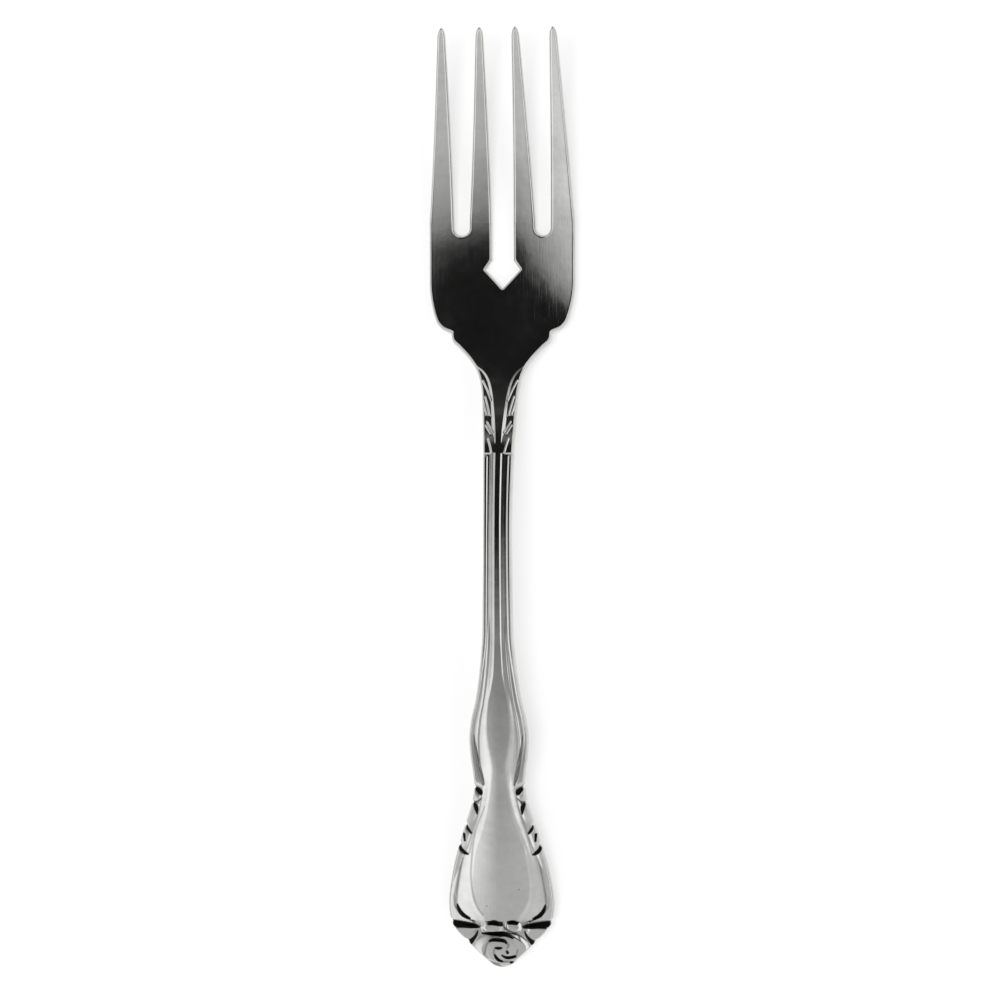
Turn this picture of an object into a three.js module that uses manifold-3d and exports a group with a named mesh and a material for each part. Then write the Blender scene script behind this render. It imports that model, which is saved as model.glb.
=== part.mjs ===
// A four-tine salad fork in polished stainless steel, lying face up on a table.
//
// Millimetres, +Z up, +Y from the handle's end to the tine tips, with the origin on the table under
// the middle of the fork. A real fork of this kind is one stamping, so the meshes are its named zones:
// each is a closed solid, and neighbours meet face to face on a flat cross-section of the steel.
import * as THREE from 'three';
import { mergeVertices } from 'three/addons/utils/BufferGeometryUtils.js';
import Module from 'manifold-3d';

// Length of each zone along the fork, from the handle's end to the tine tips
const ROSE_END_LENGTH = 8.4;
const BLADE_LENGTH = 23.2;
const HIP_LENGTH = 26;
const STEM_LENGTH = 29.8;
const NECK_LENGTH = 20.2;
const PALM_LENGTH = 20;
const TINE_LENGTH = 32.4;

// Full width of the outline at its named places
const END_WIDTH = 1.8;
const BLADE_WIDTH = 18.2;
const WAIST_WIDTH = 8.7;
const HIP_WIDTH = 10.2;
const STEM_WIDTH = 4.95;
const COLLAR_WIDTH = 5.3;
const SHOULDER_WIDTH = 17.2;
const HEAD_WIDTH = 25.1;
const TIP_SPAN = 20.2;

// Slots between the tines, and the tines' widths at their roots and tips
const CENTRE_SLOT_WIDTH = 3.65;
const CENTRE_SLOT_DEPTH = 11.3;
const CENTRE_GAP_AT_TIPS = 4.8;
const DIAMOND_WIDTH = 5.8;
const DIAMOND_LENGTH = 4.8;
const DIAMOND_POINT_LENGTH = 3.2;
const SIDE_SLOT_WIDTH = 2.55;
const SIDE_SLOT_DEPTH = 2.2;
const INNER_TINE_WIDTH = 3.9;
const TINE_TIP_WIDTH = 1.25;
const TINE_POINT_LENGTH = 1.7;

// Steel thickness, edge rounding and the blunt left on the handle's end and the tine tips
const HANDLE_THICKNESS = 2.2;
const STEM_THICKNESS = 3;
const PALM_THICKNESS = 1.7;
const TINE_TIP_THICKNESS = 1;
const EDGE_ROUND = 0.7;
const BLUNT = 0.1;

// Side view: the handle's end and the belly of the head rest on the table, the stem arches between them
const HANDLE_FLAT_DEPTH = 0.35;
const ARCH_FROM_COLLAR = 14;
const ARCH_HEIGHT = 9.6;
const BELLY_FROM_SHOULDER = 13.6;
const BELLY_FLAT_DEPTH = 0.15;
const TIP_HEIGHT = 10.6;
const DISH_DEPTH = 1.1;

// Relief on the face: raised panel, thread line, rim, side leaves and the rose on the end
const PANEL_RISE = 0.35;
const THREAD_RISE = 0.2;
const THREAD_WIDTH = 0.7;
const RIM_RISE = 0.2;
const RIM_WIDTH = 0.9;
const RIM_INSET = 0.5;
const LEAF_RISE = 0.4;
const LEAF_STEP = 0.7;
const LEAF_SLANT = 1.5;
const LEAF_LEVEL_SHARE = 0.4;
const LEAF_BROAD_SHARE = 0.7;
const LEAF_DROPS = { waist: 0.3, second: 3, third: 6.8, rim: 10.2, rose: 0.3, petal: 3.6 };
const FADE_LENGTH = 1.5;
const NOTCH_DEPTH = 0.28;
const NOTCH_WIDTH = 1.1;
const ROSE_FROM_END = 3.3;
const ROSE_RADIUS = 2.7;
const ROSE_RISE = 0.55;
const BUD_RADIUS = 1.4;
const BUD_RISE = 0.3;

// Mesh density: ring points across half the face and half the back, given as shares of the half-width
const FACE_SHARES = [0, 0.13, 0.25, 0.37, 0.48, 0.58, 0.67, 0.755, 0.83, 0.89, 0.945, 0.98, 1];
const BACK_SHARES = [0, 0.5, 0.85, 0.97, 1];
const PALM_BACK_SHARES = [0, 0.16, 0.32, 0.5, 0.7, 0.86, 0.96, 1];
const TINE_FACE_SHARES = [0, 0.5, 0.78, 0.94, 1];
const TINE_BACK_SHARES = [0, 0.55, 0.9, 1];

// Stations: distance from the handle's end to each zone boundary
const AT_END = 0;
const AT_ROSE = AT_END + ROSE_END_LENGTH;
const AT_WAIST = AT_ROSE + BLADE_LENGTH;
const AT_STEM = AT_WAIST + HIP_LENGTH;
const AT_COLLAR = AT_STEM + STEM_LENGTH;
const AT_SHOULDER = AT_COLLAR + NECK_LENGTH;
const AT_ROOT = AT_SHOULDER + PALM_LENGTH;
const AT_TIP = AT_ROOT + TINE_LENGTH;
const MID_LENGTH = AT_TIP / 2;

const wasm = await Module();
wasm.setup();

// A cubic through [station, value] points that is flat at each turning point, so it never overshoots
class SmoothCurve {
  constructor(points) {
    this.stations = points.map((point) => point[0]);
    this.values = points.map((point) => point[1]);
    const chords = [];
    for (let i = 0; i + 1 < points.length; i += 1) {
      const rise = this.values[i + 1] - this.values[i];
      chords.push(rise / (this.stations[i + 1] - this.stations[i]));
    }
    this.slopes = points.map((point, i) => {
      const before = chords[i - 1] ?? chords[i];
      const after = chords[i] ?? chords[i - 1];
      return before * after > 0 ? (2 * before * after) / (before + after) : 0;
    });
    const last = points.length - 1;
    this.slopes[0] = (3 * chords[0] - this.slopes[1]) / 2;
    this.slopes[last] = (3 * chords[last - 1] - this.slopes[last - 1]) / 2;
  }

  // The value and the slope at a station, held at the end values outside the points
  sample(station) {
    const { stations, values, slopes } = this;
    const last = stations.length - 1;
    const s = THREE.MathUtils.clamp(station, stations[0], stations[last]);
    let i = 0;
    while (i < last - 1 && s > stations[i + 1]) {
      i += 1;
    }
    const span = stations[i + 1] - stations[i];
    const t = (s - stations[i]) / span;
    const rise = values[i + 1] - values[i];
    const bendIn = span * slopes[i] - rise;
    const bendOut = rise - span * slopes[i + 1];
    const bend = bendIn * (1 - t) + bendOut * t;
    const value = values[i] + rise * t + t * (1 - t) * bend;
    const slope = (rise + (1 - 2 * t) * bend + t * (1 - t) * (bendOut - bendIn)) / span;
    return { value, slope };
  }

  at(station) {
    return this.sample(station).value;
  }
}

const mix = THREE.MathUtils.lerp;
const ramp = (t) => THREE.MathUtils.smoothstep(t, 0, 1);
const bump = (t) => Math.max(0, 1 - t * t) ** 2;

// Quarter ellipse: 0 on the edge, 1 where the rounding ends
function edgeRound(distance, radius) {
  const inside = THREE.MathUtils.clamp(1 - distance / radius, 0, 1);
  return Math.sqrt(1 - inside * inside);
}

// Outline points of a zone from [share of its length, share of the way between two widths] pairs
function outlinePoints(from, to, startWidth, endWidth, shares) {
  return shares.map(([along, across]) => [mix(from, to, along), mix(startWidth, endWidth, across) / 2]);
}

const outlineCurve = new SmoothCurve([
  ...outlinePoints(AT_END, AT_ROSE, END_WIDTH, BLADE_WIDTH, [
    [0, 0], [0.05, 0.08], [0.14, 0.18], [0.36, 0.43], [0.57, 0.64], [0.78, 0.85], [1, 0.97],
  ]),
  ...outlinePoints(AT_ROSE, AT_WAIST, BLADE_WIDTH, WAIST_WIDTH, [
    [0.11, 0], [0.34, 0.15], [0.5, 0.34], [0.65, 0.56], [0.8, 0.81], [0.91, 0.95], [1, 1],
  ]),
  ...outlinePoints(AT_WAIST, AT_STEM, WAIST_WIDTH, HIP_WIDTH, [[0.07, 0.2], [0.19, 0.75], [0.3, 1]]),
  ...outlinePoints(AT_WAIST, AT_STEM, HIP_WIDTH, STEM_WIDTH, [
    [0.42, 0.13], [0.55, 0.43], [0.69, 0.65], [0.84, 0.82], [1, 0.93],
  ]),
  ...outlinePoints(AT_STEM, AT_COLLAR, STEM_WIDTH, COLLAR_WIDTH, [[0.6, 0], [1, 1]]),
  ...outlinePoints(AT_COLLAR, AT_SHOULDER, COLLAR_WIDTH, SHOULDER_WIDTH, [
    [0.35, 0.05], [0.5, 0.08], [0.64, 0.16], [0.73, 0.27], [0.81, 0.45], [0.92, 0.79], [0.97, 0.96], [1, 1],
  ]),
  ...outlinePoints(AT_SHOULDER, AT_ROOT, SHOULDER_WIDTH, HEAD_WIDTH, [
    [0.035, 0.02], [0.085, 0.46], [0.145, 0.69], [0.275, 0.88], [0.4, 0.98], [0.47, 1],
  ]),
  ...outlinePoints(AT_ROOT, AT_TIP, HEAD_WIDTH, TIP_SPAN, [[0, 0], [0.2, 0.18], [1, 1]]),
]);

// Upper tips of the leaf lobes down each side of the blade and beside the rose; each runs to the next
const LEAF_TOPS = [
  AT_WAIST - LEAF_DROPS.waist,
  AT_WAIST - LEAF_DROPS.second,
  AT_WAIST - LEAF_DROPS.third,
  AT_WAIST - LEAF_DROPS.rim,
  AT_ROSE - LEAF_DROPS.rose,
  AT_ROSE - LEAF_DROPS.petal,
];

// Half-width of the outline, with a small notch at the upper tip of each side leaf
function halfWidth(s) {
  const notches = LEAF_TOPS.map((top) => bump((s - top) / (NOTCH_WIDTH / 2)));
  return outlineCurve.at(s) - NOTCH_DEPTH * Math.max(...notches);
}

const endMid = HANDLE_THICKNESS / 2 - HANDLE_FLAT_DEPTH;
const bellyMid = PALM_THICKNESS / 2 - BELLY_FLAT_DEPTH;
const midHeight = new SmoothCurve([
  [AT_END, endMid],
  [AT_COLLAR - ARCH_FROM_COLLAR, ARCH_HEIGHT],
  [AT_SHOULDER + BELLY_FROM_SHOULDER, bellyMid],
  [AT_TIP, TIP_HEIGHT],
]);

const halfThickness = new SmoothCurve([
  [AT_END, HANDLE_THICKNESS / 2],
  [AT_WAIST, HANDLE_THICKNESS / 2],
  [mix(AT_STEM, AT_COLLAR, 0.6), STEM_THICKNESS / 2],
  [AT_SHOULDER, mix(PALM_THICKNESS, STEM_THICKNESS, 0.2) / 2],
  [mix(AT_SHOULDER, AT_ROOT, 0.5), PALM_THICKNESS / 2],
  [AT_ROOT, PALM_THICKNESS / 2],
  [AT_TIP, TINE_TIP_THICKNESS / 2],
]);

// How far the head's sides rise above its middle, at the full head width
const dish = new SmoothCurve([
  [AT_COLLAR, 0],
  [AT_SHOULDER, 0.4 * DISH_DEPTH],
  [AT_SHOULDER + BELLY_FROM_SHOULDER, DISH_DEPTH],
  [AT_TIP, 0.4 * DISH_DEPTH],
]);

// The raised panel as shares of the outline's half-width, at its flat top and at the foot of its sloping
// border: broad on the blade, a slim rib on the stem, and a tulip that opens into the palm
const alongBlade = (share) => mix(AT_ROSE, AT_WAIST, share);
const alongHip = (share) => mix(AT_WAIST, AT_STEM, share);
const alongNeck = (share) => mix(AT_COLLAR, AT_SHOULDER, share);
const panelShare = new SmoothCurve([
  [AT_ROSE, 0.5], [alongBlade(0.2), 0.57], [alongBlade(0.5), 0.61], [alongBlade(0.66), 0.51],
  [AT_WAIST, 0.4], [alongHip(0.12), 0.29], [alongHip(0.3), 0.43], [alongHip(0.5), 0.32],
  [AT_STEM, 0.21], [AT_COLLAR, 0.19], [alongNeck(0.3), 0.2], [alongNeck(0.5), 0.4],
  [alongNeck(0.68), 0.64], [alongNeck(0.79), 1],
]);
const footShare = new SmoothCurve([
  [AT_ROSE, 0.64], [alongBlade(0.12), 0.82], [alongBlade(0.45), 0.77], [alongBlade(0.66), 0.69],
  [AT_WAIST, 0.6], [alongHip(0.12), 0.53], [alongHip(0.3), 0.54], [alongHip(0.5), 0.46],
  [AT_STEM, 0.36], [AT_COLLAR, 0.34], [alongNeck(0.3), 0.36], [alongNeck(0.5), 0.55],
  [alongNeck(0.68), 0.8], [alongNeck(0.79), 1.2],
]);
const panelFade = new SmoothCurve([
  [AT_ROSE, 0], [AT_ROSE + FADE_LENGTH, 1], [alongNeck(0.75), 1], [mix(AT_SHOULDER, AT_ROOT, 0.3), 0],
]);
const threadShare = new SmoothCurve([[AT_WAIST, 0.72], [alongHip(0.3), 0.7], [AT_STEM, 0.56]]);
const threadFade = new SmoothCurve([
  [AT_WAIST, 0], [AT_WAIST + 2 * FADE_LENGTH, 1], [AT_COLLAR - FADE_LENGTH, 1], [AT_COLLAR, 0],
]);
const rimFade = new SmoothCurve([
  [AT_ROSE, 0], [AT_ROSE + FADE_LENGTH, 1], [AT_COLLAR - FADE_LENGTH, 1], [AT_COLLAR, 0],
]);

// A leaf's height: a steep upper face, a flat back that sinks towards the next leaf; it fills the space
// between the outline and the foot of the panel
function leafHeight(order, s, inset, reach) {
  const top = LEAF_TOPS[order];
  const length = top - (LEAF_TOPS[order + 1] ?? AT_END);
  const across = THREE.MathUtils.clamp(inset / reach, 0, 1);
  const along = top - LEAF_SLANT * across - s;
  const sunk = ramp((along / length - LEAF_LEVEL_SHARE) / (1 - LEAF_LEVEL_SHARE));
  const body = ramp(along / LEAF_STEP) * (1 - sunk);
  return LEAF_RISE * body * (1 - ramp((across - LEAF_BROAD_SHARE) / (1 - LEAF_BROAD_SHARE)));
}

// Height of the face's ornament above the plain steel at x off the centre line
function relief(s, x) {
  const off = Math.abs(x);
  const half = halfWidth(s);
  const inset = half - off;
  const panelTop = panelShare.at(s) * half;
  const panelFoot = footShare.at(s) * half;
  const panel = 1 - ramp((off - panelTop) / (panelFoot - panelTop));
  const thread = bump((off - threadShare.at(s) * half) / (THREAD_WIDTH / 2));
  const rim = bump((inset - RIM_INSET) / (RIM_WIDTH / 2));
  const leaves = LEAF_TOPS.map((top, order) => leafHeight(order, s, inset, half - panelFoot));
  const fromRose = Math.hypot(x, s - ROSE_FROM_END);
  const rose = ROSE_RISE * edgeRound(ROSE_RADIUS - fromRose, ROSE_RADIUS);
  const bud = BUD_RISE * edgeRound(BUD_RADIUS - fromRose, BUD_RADIUS);
  return PANEL_RISE * panel * panelFade.at(s)
    + THREAD_RISE * thread * threadFade.at(s)
    + RIM_RISE * rim * rimFade.at(s)
    + Math.max(...leaves)
    + rose + bud;
}

// A point at station s, x off the centre line and h above the mid-surface, measured square to it
function place(s, x, h) {
  const { value, slope } = midHeight.sample(s);
  const length = Math.hypot(1, slope);
  const lift = h + dish.at(s) * (x / (HEAD_WIDTH / 2)) ** 2;
  const y = s - MID_LENGTH - (lift * slope) / length;
  const z = value + lift / length;
  return [x, y, Math.max(z, 0)];
}

// Rounding towards the handle's end and the tine tips
const endRound = (s) => edgeRound(Math.min(s, AT_TIP - s) + BLUNT, EDGE_ROUND);

// One ring of the loft across a band from left to right: the face from left to right, then the back
function ring(s, left, right, faceShares, backShares, ornament) {
  const middle = (left + right) / 2;
  const half = (right - left) / 2;
  const radius = Math.min(EDGE_ROUND, half);
  const plain = halfThickness.at(s) * endRound(s);
  const across = (shares) => [...shares.slice(1).reverse().map((share) => -share), ...shares];
  const round = (share) => edgeRound((1 - Math.abs(share)) * half, radius);
  const face = across(faceShares).map((share) => {
    const x = middle + share * half;
    return place(s, x, round(share) * (plain + ornament(s, x) * endRound(s)));
  });
  const back = across(backShares).slice(1, -1).reverse().map((share) => {
    return place(s, middle + share * half, -round(share) * plain);
  });
  return { points: [...face, ...back], faceCount: face.length };
}

// Triangles across a ring: a strip between its face and its back, taken from left to right
function capTriangles(points, faceCount) {
  const face = Array.from({ length: faceCount }, (none, i) => i);
  const back = [0];
  for (let i = points.length - 1; i >= faceCount; i -= 1) {
    back.push(i);
  }
  back.push(faceCount - 1);
  const triangles = [];
  let i = 0;
  let j = 0;
  while (i + 1 < face.length || j + 1 < back.length) {
    const nextFace = face[i + 1] ?? face[i];
    const nextBack = back[j + 1] ?? back[j];
    const faceTurn = i + 1 < face.length
      && (j + 1 >= back.length || points[nextFace][0] <= points[nextBack][0]);
    const next = faceTurn ? nextFace : nextBack;
    if (next !== face[i] && next !== back[j] && face[i] !== back[j]) {
      triangles.push([face[i], back[j], next]);
    }
    i += faceTurn ? 1 : 0;
    j += faceTurn ? 0 : 1;
  }
  return triangles;
}

// A closed solid through a row of rings, with a flat cap on the first and the last
function loft(rings) {
  const count = rings[0].points.length;
  const index = [];
  for (let r = 0; r + 1 < rings.length; r += 1) {
    for (let i = 0; i < count; i += 1) {
      const a = r * count + i;
      const b = r * count + ((i + 1) % count);
      index.push(a, b, b + count, a, b + count, a + count);
    }
  }
  const first = capTriangles(rings[0].points, rings[0].faceCount);
  const last = capTriangles(rings.at(-1).points, rings.at(-1).faceCount);
  const lastStart = (rings.length - 1) * count;
  first.forEach(([a, b, c]) => index.push(a, b, c));
  last.forEach(([a, b, c]) => index.push(lastStart + a, lastStart + c, lastStart + b));
  const geometry = new THREE.BufferGeometry();
  const positions = rings.flatMap((one) => one.points.flat());
  geometry.setAttribute('position', new THREE.Float32BufferAttribute(positions, 3));
  geometry.setIndex(index);
  geometry.computeVertexNormals();
  return geometry;
}

// Stations from one boundary to the next, with those of the outline's notches among them
function stationsBetween(from, to, count) {
  const even = Array.from({ length: count + 1 }, (none, i) => mix(from, to, i / count));
  const notches = LEAF_TOPS.flatMap((top) => [top - NOTCH_WIDTH / 2, top, top + NOTCH_WIDTH / 2]);
  const spacing = (to - from) / count;
  const inside = notches.filter((s) => s > from + spacing / 4 && s < to - spacing / 4);
  const kept = even.filter((s) => s === from || s === to
    || inside.every((notch) => Math.abs(notch - s) > spacing / 4));
  return [...kept, ...inside].sort((a, b) => a - b);
}

// A zone of the handle, neck or palm, across the whole width of the fork
function zone(from, to, steps, backShares = BACK_SHARES) {
  const rings = stationsBetween(from, to, steps).map((s) => {
    const half = halfWidth(s);
    return ring(s, -half, half, FACE_SHARES, backShares, relief);
  });
  return loft(rings);
}

// Edges of the tines on one side of the centre line, at their roots and at their tips
const INNER_ROOT = [CENTRE_SLOT_WIDTH / 2, CENTRE_SLOT_WIDTH / 2 + INNER_TINE_WIDTH];
const OUTER_ROOT = [INNER_ROOT[1] + SIDE_SLOT_WIDTH, HEAD_WIDTH / 2];
const INNER_TIP = [CENTRE_GAP_AT_TIPS / 2, CENTRE_GAP_AT_TIPS / 2 + TINE_TIP_WIDTH];
const OUTER_TIP = [TIP_SPAN / 2 - TINE_TIP_WIDTH, TIP_SPAN / 2];

// One tine, tapering from its root to a rounded tip; its rings crowd together towards the tip
function tine(root, tip, side) {
  const steps = 14;
  const rings = [];
  for (let i = 0; i <= steps; i += 1) {
    const along = Math.sin((Math.PI / 2) * (i / steps));
    const s = mix(AT_ROOT, AT_TIP, along);
    const middle = mix((root[0] + root[1]) / 2, (tip[0] + tip[1]) / 2, along);
    const taper = mix((root[1] - root[0]) / 2, (tip[1] - tip[0]) / 2, along);
    const half = taper * edgeRound(AT_TIP - s + BLUNT, TINE_POINT_LENGTH);
    const left = side * middle - half;
    const right = side * middle + half;
    rings.push(ring(s, left, right, TINE_FACE_SHARES, TINE_BACK_SHARES, () => 0));
  }
  return loft(rings);
}

// A closed geometry as a solid that can be cut, and back again
function toSolid(geometry) {
  const bare = geometry.clone();
  bare.deleteAttribute('normal');
  bare.deleteAttribute('uv');
  const merged = mergeVertices(bare, 1e-5);
  return new wasm.Manifold(new wasm.Mesh({
    numProp: 3,
    vertProperties: new Float32Array(merged.attributes.position.array),
    triVerts: new Uint32Array(merged.index.array),
  }));
}

function toGeometry(solid) {
  const { vertProperties, triVerts } = solid.getMesh();
  const geometry = new THREE.BufferGeometry();
  geometry.setAttribute('position', new THREE.BufferAttribute(vertProperties, 3));
  geometry.setIndex(new THREE.BufferAttribute(triVerts, 1));
  geometry.computeVertexNormals();
  return geometry;
}

// A cutter through the full height of the head, from an outline seen from above
function cutter(shape) {
  const overrun = 2;
  const height = ARCH_HEIGHT + 2 * overrun;
  const geometry = new THREE.ExtrudeGeometry(shape, { depth: height, bevelEnabled: false, curveSegments: 12 });
  return toSolid(geometry.translate(0, 0, -overrun));
}

// A round-ended slot between an inner and an outer tine
function sideSlot(side) {
  const radius = SIDE_SLOT_WIDTH / 2;
  const middle = side * (INNER_ROOT[1] + radius);
  const open = AT_ROOT - MID_LENGTH + EDGE_ROUND;
  const roundMiddle = AT_ROOT - MID_LENGTH - SIDE_SLOT_DEPTH + radius;
  const shape = new THREE.Shape();
  shape.moveTo(middle - radius, open);
  shape.lineTo(middle - radius, roundMiddle);
  shape.absarc(middle, roundMiddle, radius, Math.PI, 2 * Math.PI, false);
  shape.lineTo(middle + radius, open);
  return cutter(shape);
}

// The deeper centre slot, which ends in a diamond
function centreSlot() {
  const half = CENTRE_SLOT_WIDTH / 2;
  const open = AT_ROOT - MID_LENGTH + EDGE_ROUND;
  const point = AT_ROOT - MID_LENGTH - CENTRE_SLOT_DEPTH;
  const shape = new THREE.Shape();
  shape.moveTo(-half, open);
  shape.lineTo(-half, point + DIAMOND_LENGTH);
  shape.lineTo(-DIAMOND_WIDTH / 2, point + DIAMOND_POINT_LENGTH);
  shape.lineTo(0, point);
  shape.lineTo(DIAMOND_WIDTH / 2, point + DIAMOND_POINT_LENGTH);
  shape.lineTo(half, point + DIAMOND_LENGTH);
  shape.lineTo(half, open);
  return cutter(shape);
}

// The palm of the head, with the ends of the three slots cut through it
function palm() {
  const plate = toSolid(zone(AT_SHOULDER, AT_ROOT, 14, PALM_BACK_SHARES));
  const cut = plate.subtract(sideSlot(-1)).subtract(sideSlot(1)).subtract(centreSlot());
  return toGeometry(cut);
}

const steel = new THREE.MeshStandardMaterial({ color: 0xb9b9b6, metalness: 1, roughness: 0.15 });

const fork = new THREE.Group();

function addPiece(name, geometry) {
  const mesh = new THREE.Mesh(geometry, steel);
  mesh.name = name;
  fork.add(mesh);
}

addPiece('rose_end', zone(AT_END, AT_ROSE, 16));
addPiece('handle_blade', zone(AT_ROSE, AT_WAIST, 24));
addPiece('handle_hip', zone(AT_WAIST, AT_STEM, 16));
addPiece('stem', zone(AT_STEM, AT_COLLAR, 8));
addPiece('neck', zone(AT_COLLAR, AT_SHOULDER, 16));
addPiece('palm', palm());
[['left', -1], ['right', 1]].forEach(([word, side]) => {
  addPiece(`tine_inner_${word}`, tine(INNER_ROOT, INNER_TIP, side));
  addPiece(`tine_outer_${word}`, tine(OUTER_ROOT, OUTER_TIP, side));
});

export default fork;
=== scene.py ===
"""A polished steel salad fork, face up on a pale table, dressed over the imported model.

Shapes are worked out in millimetres. A station s runs along the fork from the handle's end to the tine
tips, x lies across it, and h is the height above the middle of the steel, measured square to it.
"""

import bpy
import numpy as np
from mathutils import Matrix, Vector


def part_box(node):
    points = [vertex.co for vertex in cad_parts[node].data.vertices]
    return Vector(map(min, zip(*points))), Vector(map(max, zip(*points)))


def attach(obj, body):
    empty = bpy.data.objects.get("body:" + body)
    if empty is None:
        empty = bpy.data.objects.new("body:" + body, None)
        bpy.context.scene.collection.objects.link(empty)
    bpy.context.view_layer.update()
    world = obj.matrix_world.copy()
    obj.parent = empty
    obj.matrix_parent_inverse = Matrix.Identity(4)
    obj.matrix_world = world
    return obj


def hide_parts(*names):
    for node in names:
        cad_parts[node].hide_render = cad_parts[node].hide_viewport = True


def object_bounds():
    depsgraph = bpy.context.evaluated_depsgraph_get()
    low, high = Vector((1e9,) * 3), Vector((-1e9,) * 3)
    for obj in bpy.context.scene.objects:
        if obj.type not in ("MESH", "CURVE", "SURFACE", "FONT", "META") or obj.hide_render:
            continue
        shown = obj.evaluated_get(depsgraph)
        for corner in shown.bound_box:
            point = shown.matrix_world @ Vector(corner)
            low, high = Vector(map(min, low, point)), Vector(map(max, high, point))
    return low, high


bl_info = {
    "name": "Salad Fork",
    "version": (1, 0, 0),
    "blender": (4, 5, 0),
    "location": "View3D > Sidebar > Fork",
    "description": "Builds a polished steel salad fork with a coined handle, and its studio stage",
    "category": "Add Mesh",
}

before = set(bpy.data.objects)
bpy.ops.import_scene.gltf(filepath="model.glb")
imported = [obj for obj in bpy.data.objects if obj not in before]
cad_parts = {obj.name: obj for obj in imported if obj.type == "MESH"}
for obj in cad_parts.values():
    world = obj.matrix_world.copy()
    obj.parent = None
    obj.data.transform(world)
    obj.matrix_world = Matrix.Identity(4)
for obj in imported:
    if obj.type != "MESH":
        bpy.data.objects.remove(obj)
CAD_LOW, CAD_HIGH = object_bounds()
MM = 0.001
BODY = "root"


def cad_width(node):
    """Full width of a CAD node across the fork, in millimetres."""
    low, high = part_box(node)
    return (high.x - low.x) / MM


# Length of each zone along the fork, as in the solids
ROSE_END_LENGTH = 8.4
BLADE_LENGTH = 23.2
HIP_LENGTH = 26.0
STEM_LENGTH = 29.8
NECK_LENGTH = 20.2
PALM_LENGTH = 20.0
TINE_LENGTH = 32.4

# Stations of the zone boundaries
AT_END = 0.0
AT_ROSE = AT_END + ROSE_END_LENGTH
AT_WAIST = AT_ROSE + BLADE_LENGTH
AT_STEM = AT_WAIST + HIP_LENGTH
AT_COLLAR = AT_STEM + STEM_LENGTH
AT_SHOULDER = AT_COLLAR + NECK_LENGTH
AT_ROOT = AT_SHOULDER + PALM_LENGTH
AT_TIP = AT_ROOT + TINE_LENGTH
MID_LENGTH = AT_TIP / 2

# Full width of the outline at its named places
END_WIDTH = 1.8
BLADE_WIDTH = cad_width("handle_blade")
WAIST_WIDTH = 8.7
HIP_WIDTH = cad_width("handle_hip")
STEM_WIDTH = 4.95
COLLAR_WIDTH = 5.3
SHOULDER_WIDTH = cad_width("neck")
HEAD_WIDTH = cad_width("palm")
TIP_SPAN = 20.2

# Slots between the tines, and the tines at their roots and tips
CENTRE_SLOT_WIDTH = 3.65
CENTRE_SLOT_DEPTH = 11.3
CENTRE_GAP_AT_TIPS = 4.8
DIAMOND_WIDTH = 5.8
DIAMOND_LENGTH = 4.8
DIAMOND_POINT_LENGTH = 3.2
SIDE_SLOT_WIDTH = 2.55
SIDE_SLOT_DEPTH = 2.2
INNER_TINE_WIDTH = 3.9
TINE_TIP_WIDTH = 1.25
TINE_POINT_LENGTH = 1.7

# Steel thickness, and the side view of the arched handle and the dished head
HANDLE_THICKNESS = 2.2
STEM_THICKNESS = 3.0
PALM_THICKNESS = 1.7
TINE_TIP_THICKNESS = 1.0
HANDLE_FLAT_DEPTH = 0.35
ARCH_FROM_COLLAR = 14.0
ARCH_HEIGHT = 9.6
BELLY_FROM_SHOULDER = 13.6
BELLY_FLAT_DEPTH = 0.15
TIP_HEIGHT = 10.6
DISH_DEPTH = 1.1

# Where along the stem the steel is thickest, how far the shoulder is from the palm's thickness to the stem's,
# from where along the palm it is even, and how much of the dish is left at the shoulder and the tips
STEM_THICKEST_SHARE = 0.6
SHOULDER_THICKNESS_SHARE = 0.2
PALM_EVEN_SHARE = 0.5
DISH_END_SHARE = 0.4

# Notches in the outline at the upper tips of the side leaves
NOTCH_DEPTH = 0.28
NOTCH_WIDTH = 1.1
LEAF_TOPS = (AT_WAIST - 0.3, AT_WAIST - 3.0, AT_WAIST - 6.8, AT_WAIST - 10.2, AT_ROSE - 0.3, AT_ROSE - 3.6)

# Length of the rounding at the handle's end, and the smallest size left where it and the tines close
END_ROUND = 0.7
CLOSING = 0.004

# How soft the ends of a bevel are, and the step over which the outline's slant is measured
BEVEL_SOFTNESS = 0.35
SLANT_STEP = 0.05


def mix(a, b, share):
    """The value a share of the way from a to b."""
    return a + (b - a) * share


def ramp(t):
    """A smooth step from 0 to 1 as t goes from 0 to 1."""
    t = np.clip(t, 0.0, 1.0)
    return t * t * (3.0 - 2.0 * t)


def bump(t):
    """A smooth bump: 1 at t = 0, falling to 0 at t = -1 and t = 1."""
    return np.clip(1.0 - t * t, 0.0, None) ** 2


def bevel(t):
    """A step from 0 to 1 as t goes from 0 to 1: nearly straight, with slightly softened ends."""
    t = np.clip(t, 0.0, 1.0)
    return mix(t, ramp(t), BEVEL_SOFTNESS)


def edge_round(distance, radius):
    """A quarter ellipse: 0 on the edge, 1 where the rounding ends."""
    inside = np.clip(1.0 - distance / radius, 0.0, 1.0)
    return np.sqrt(1.0 - inside * inside)


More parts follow.
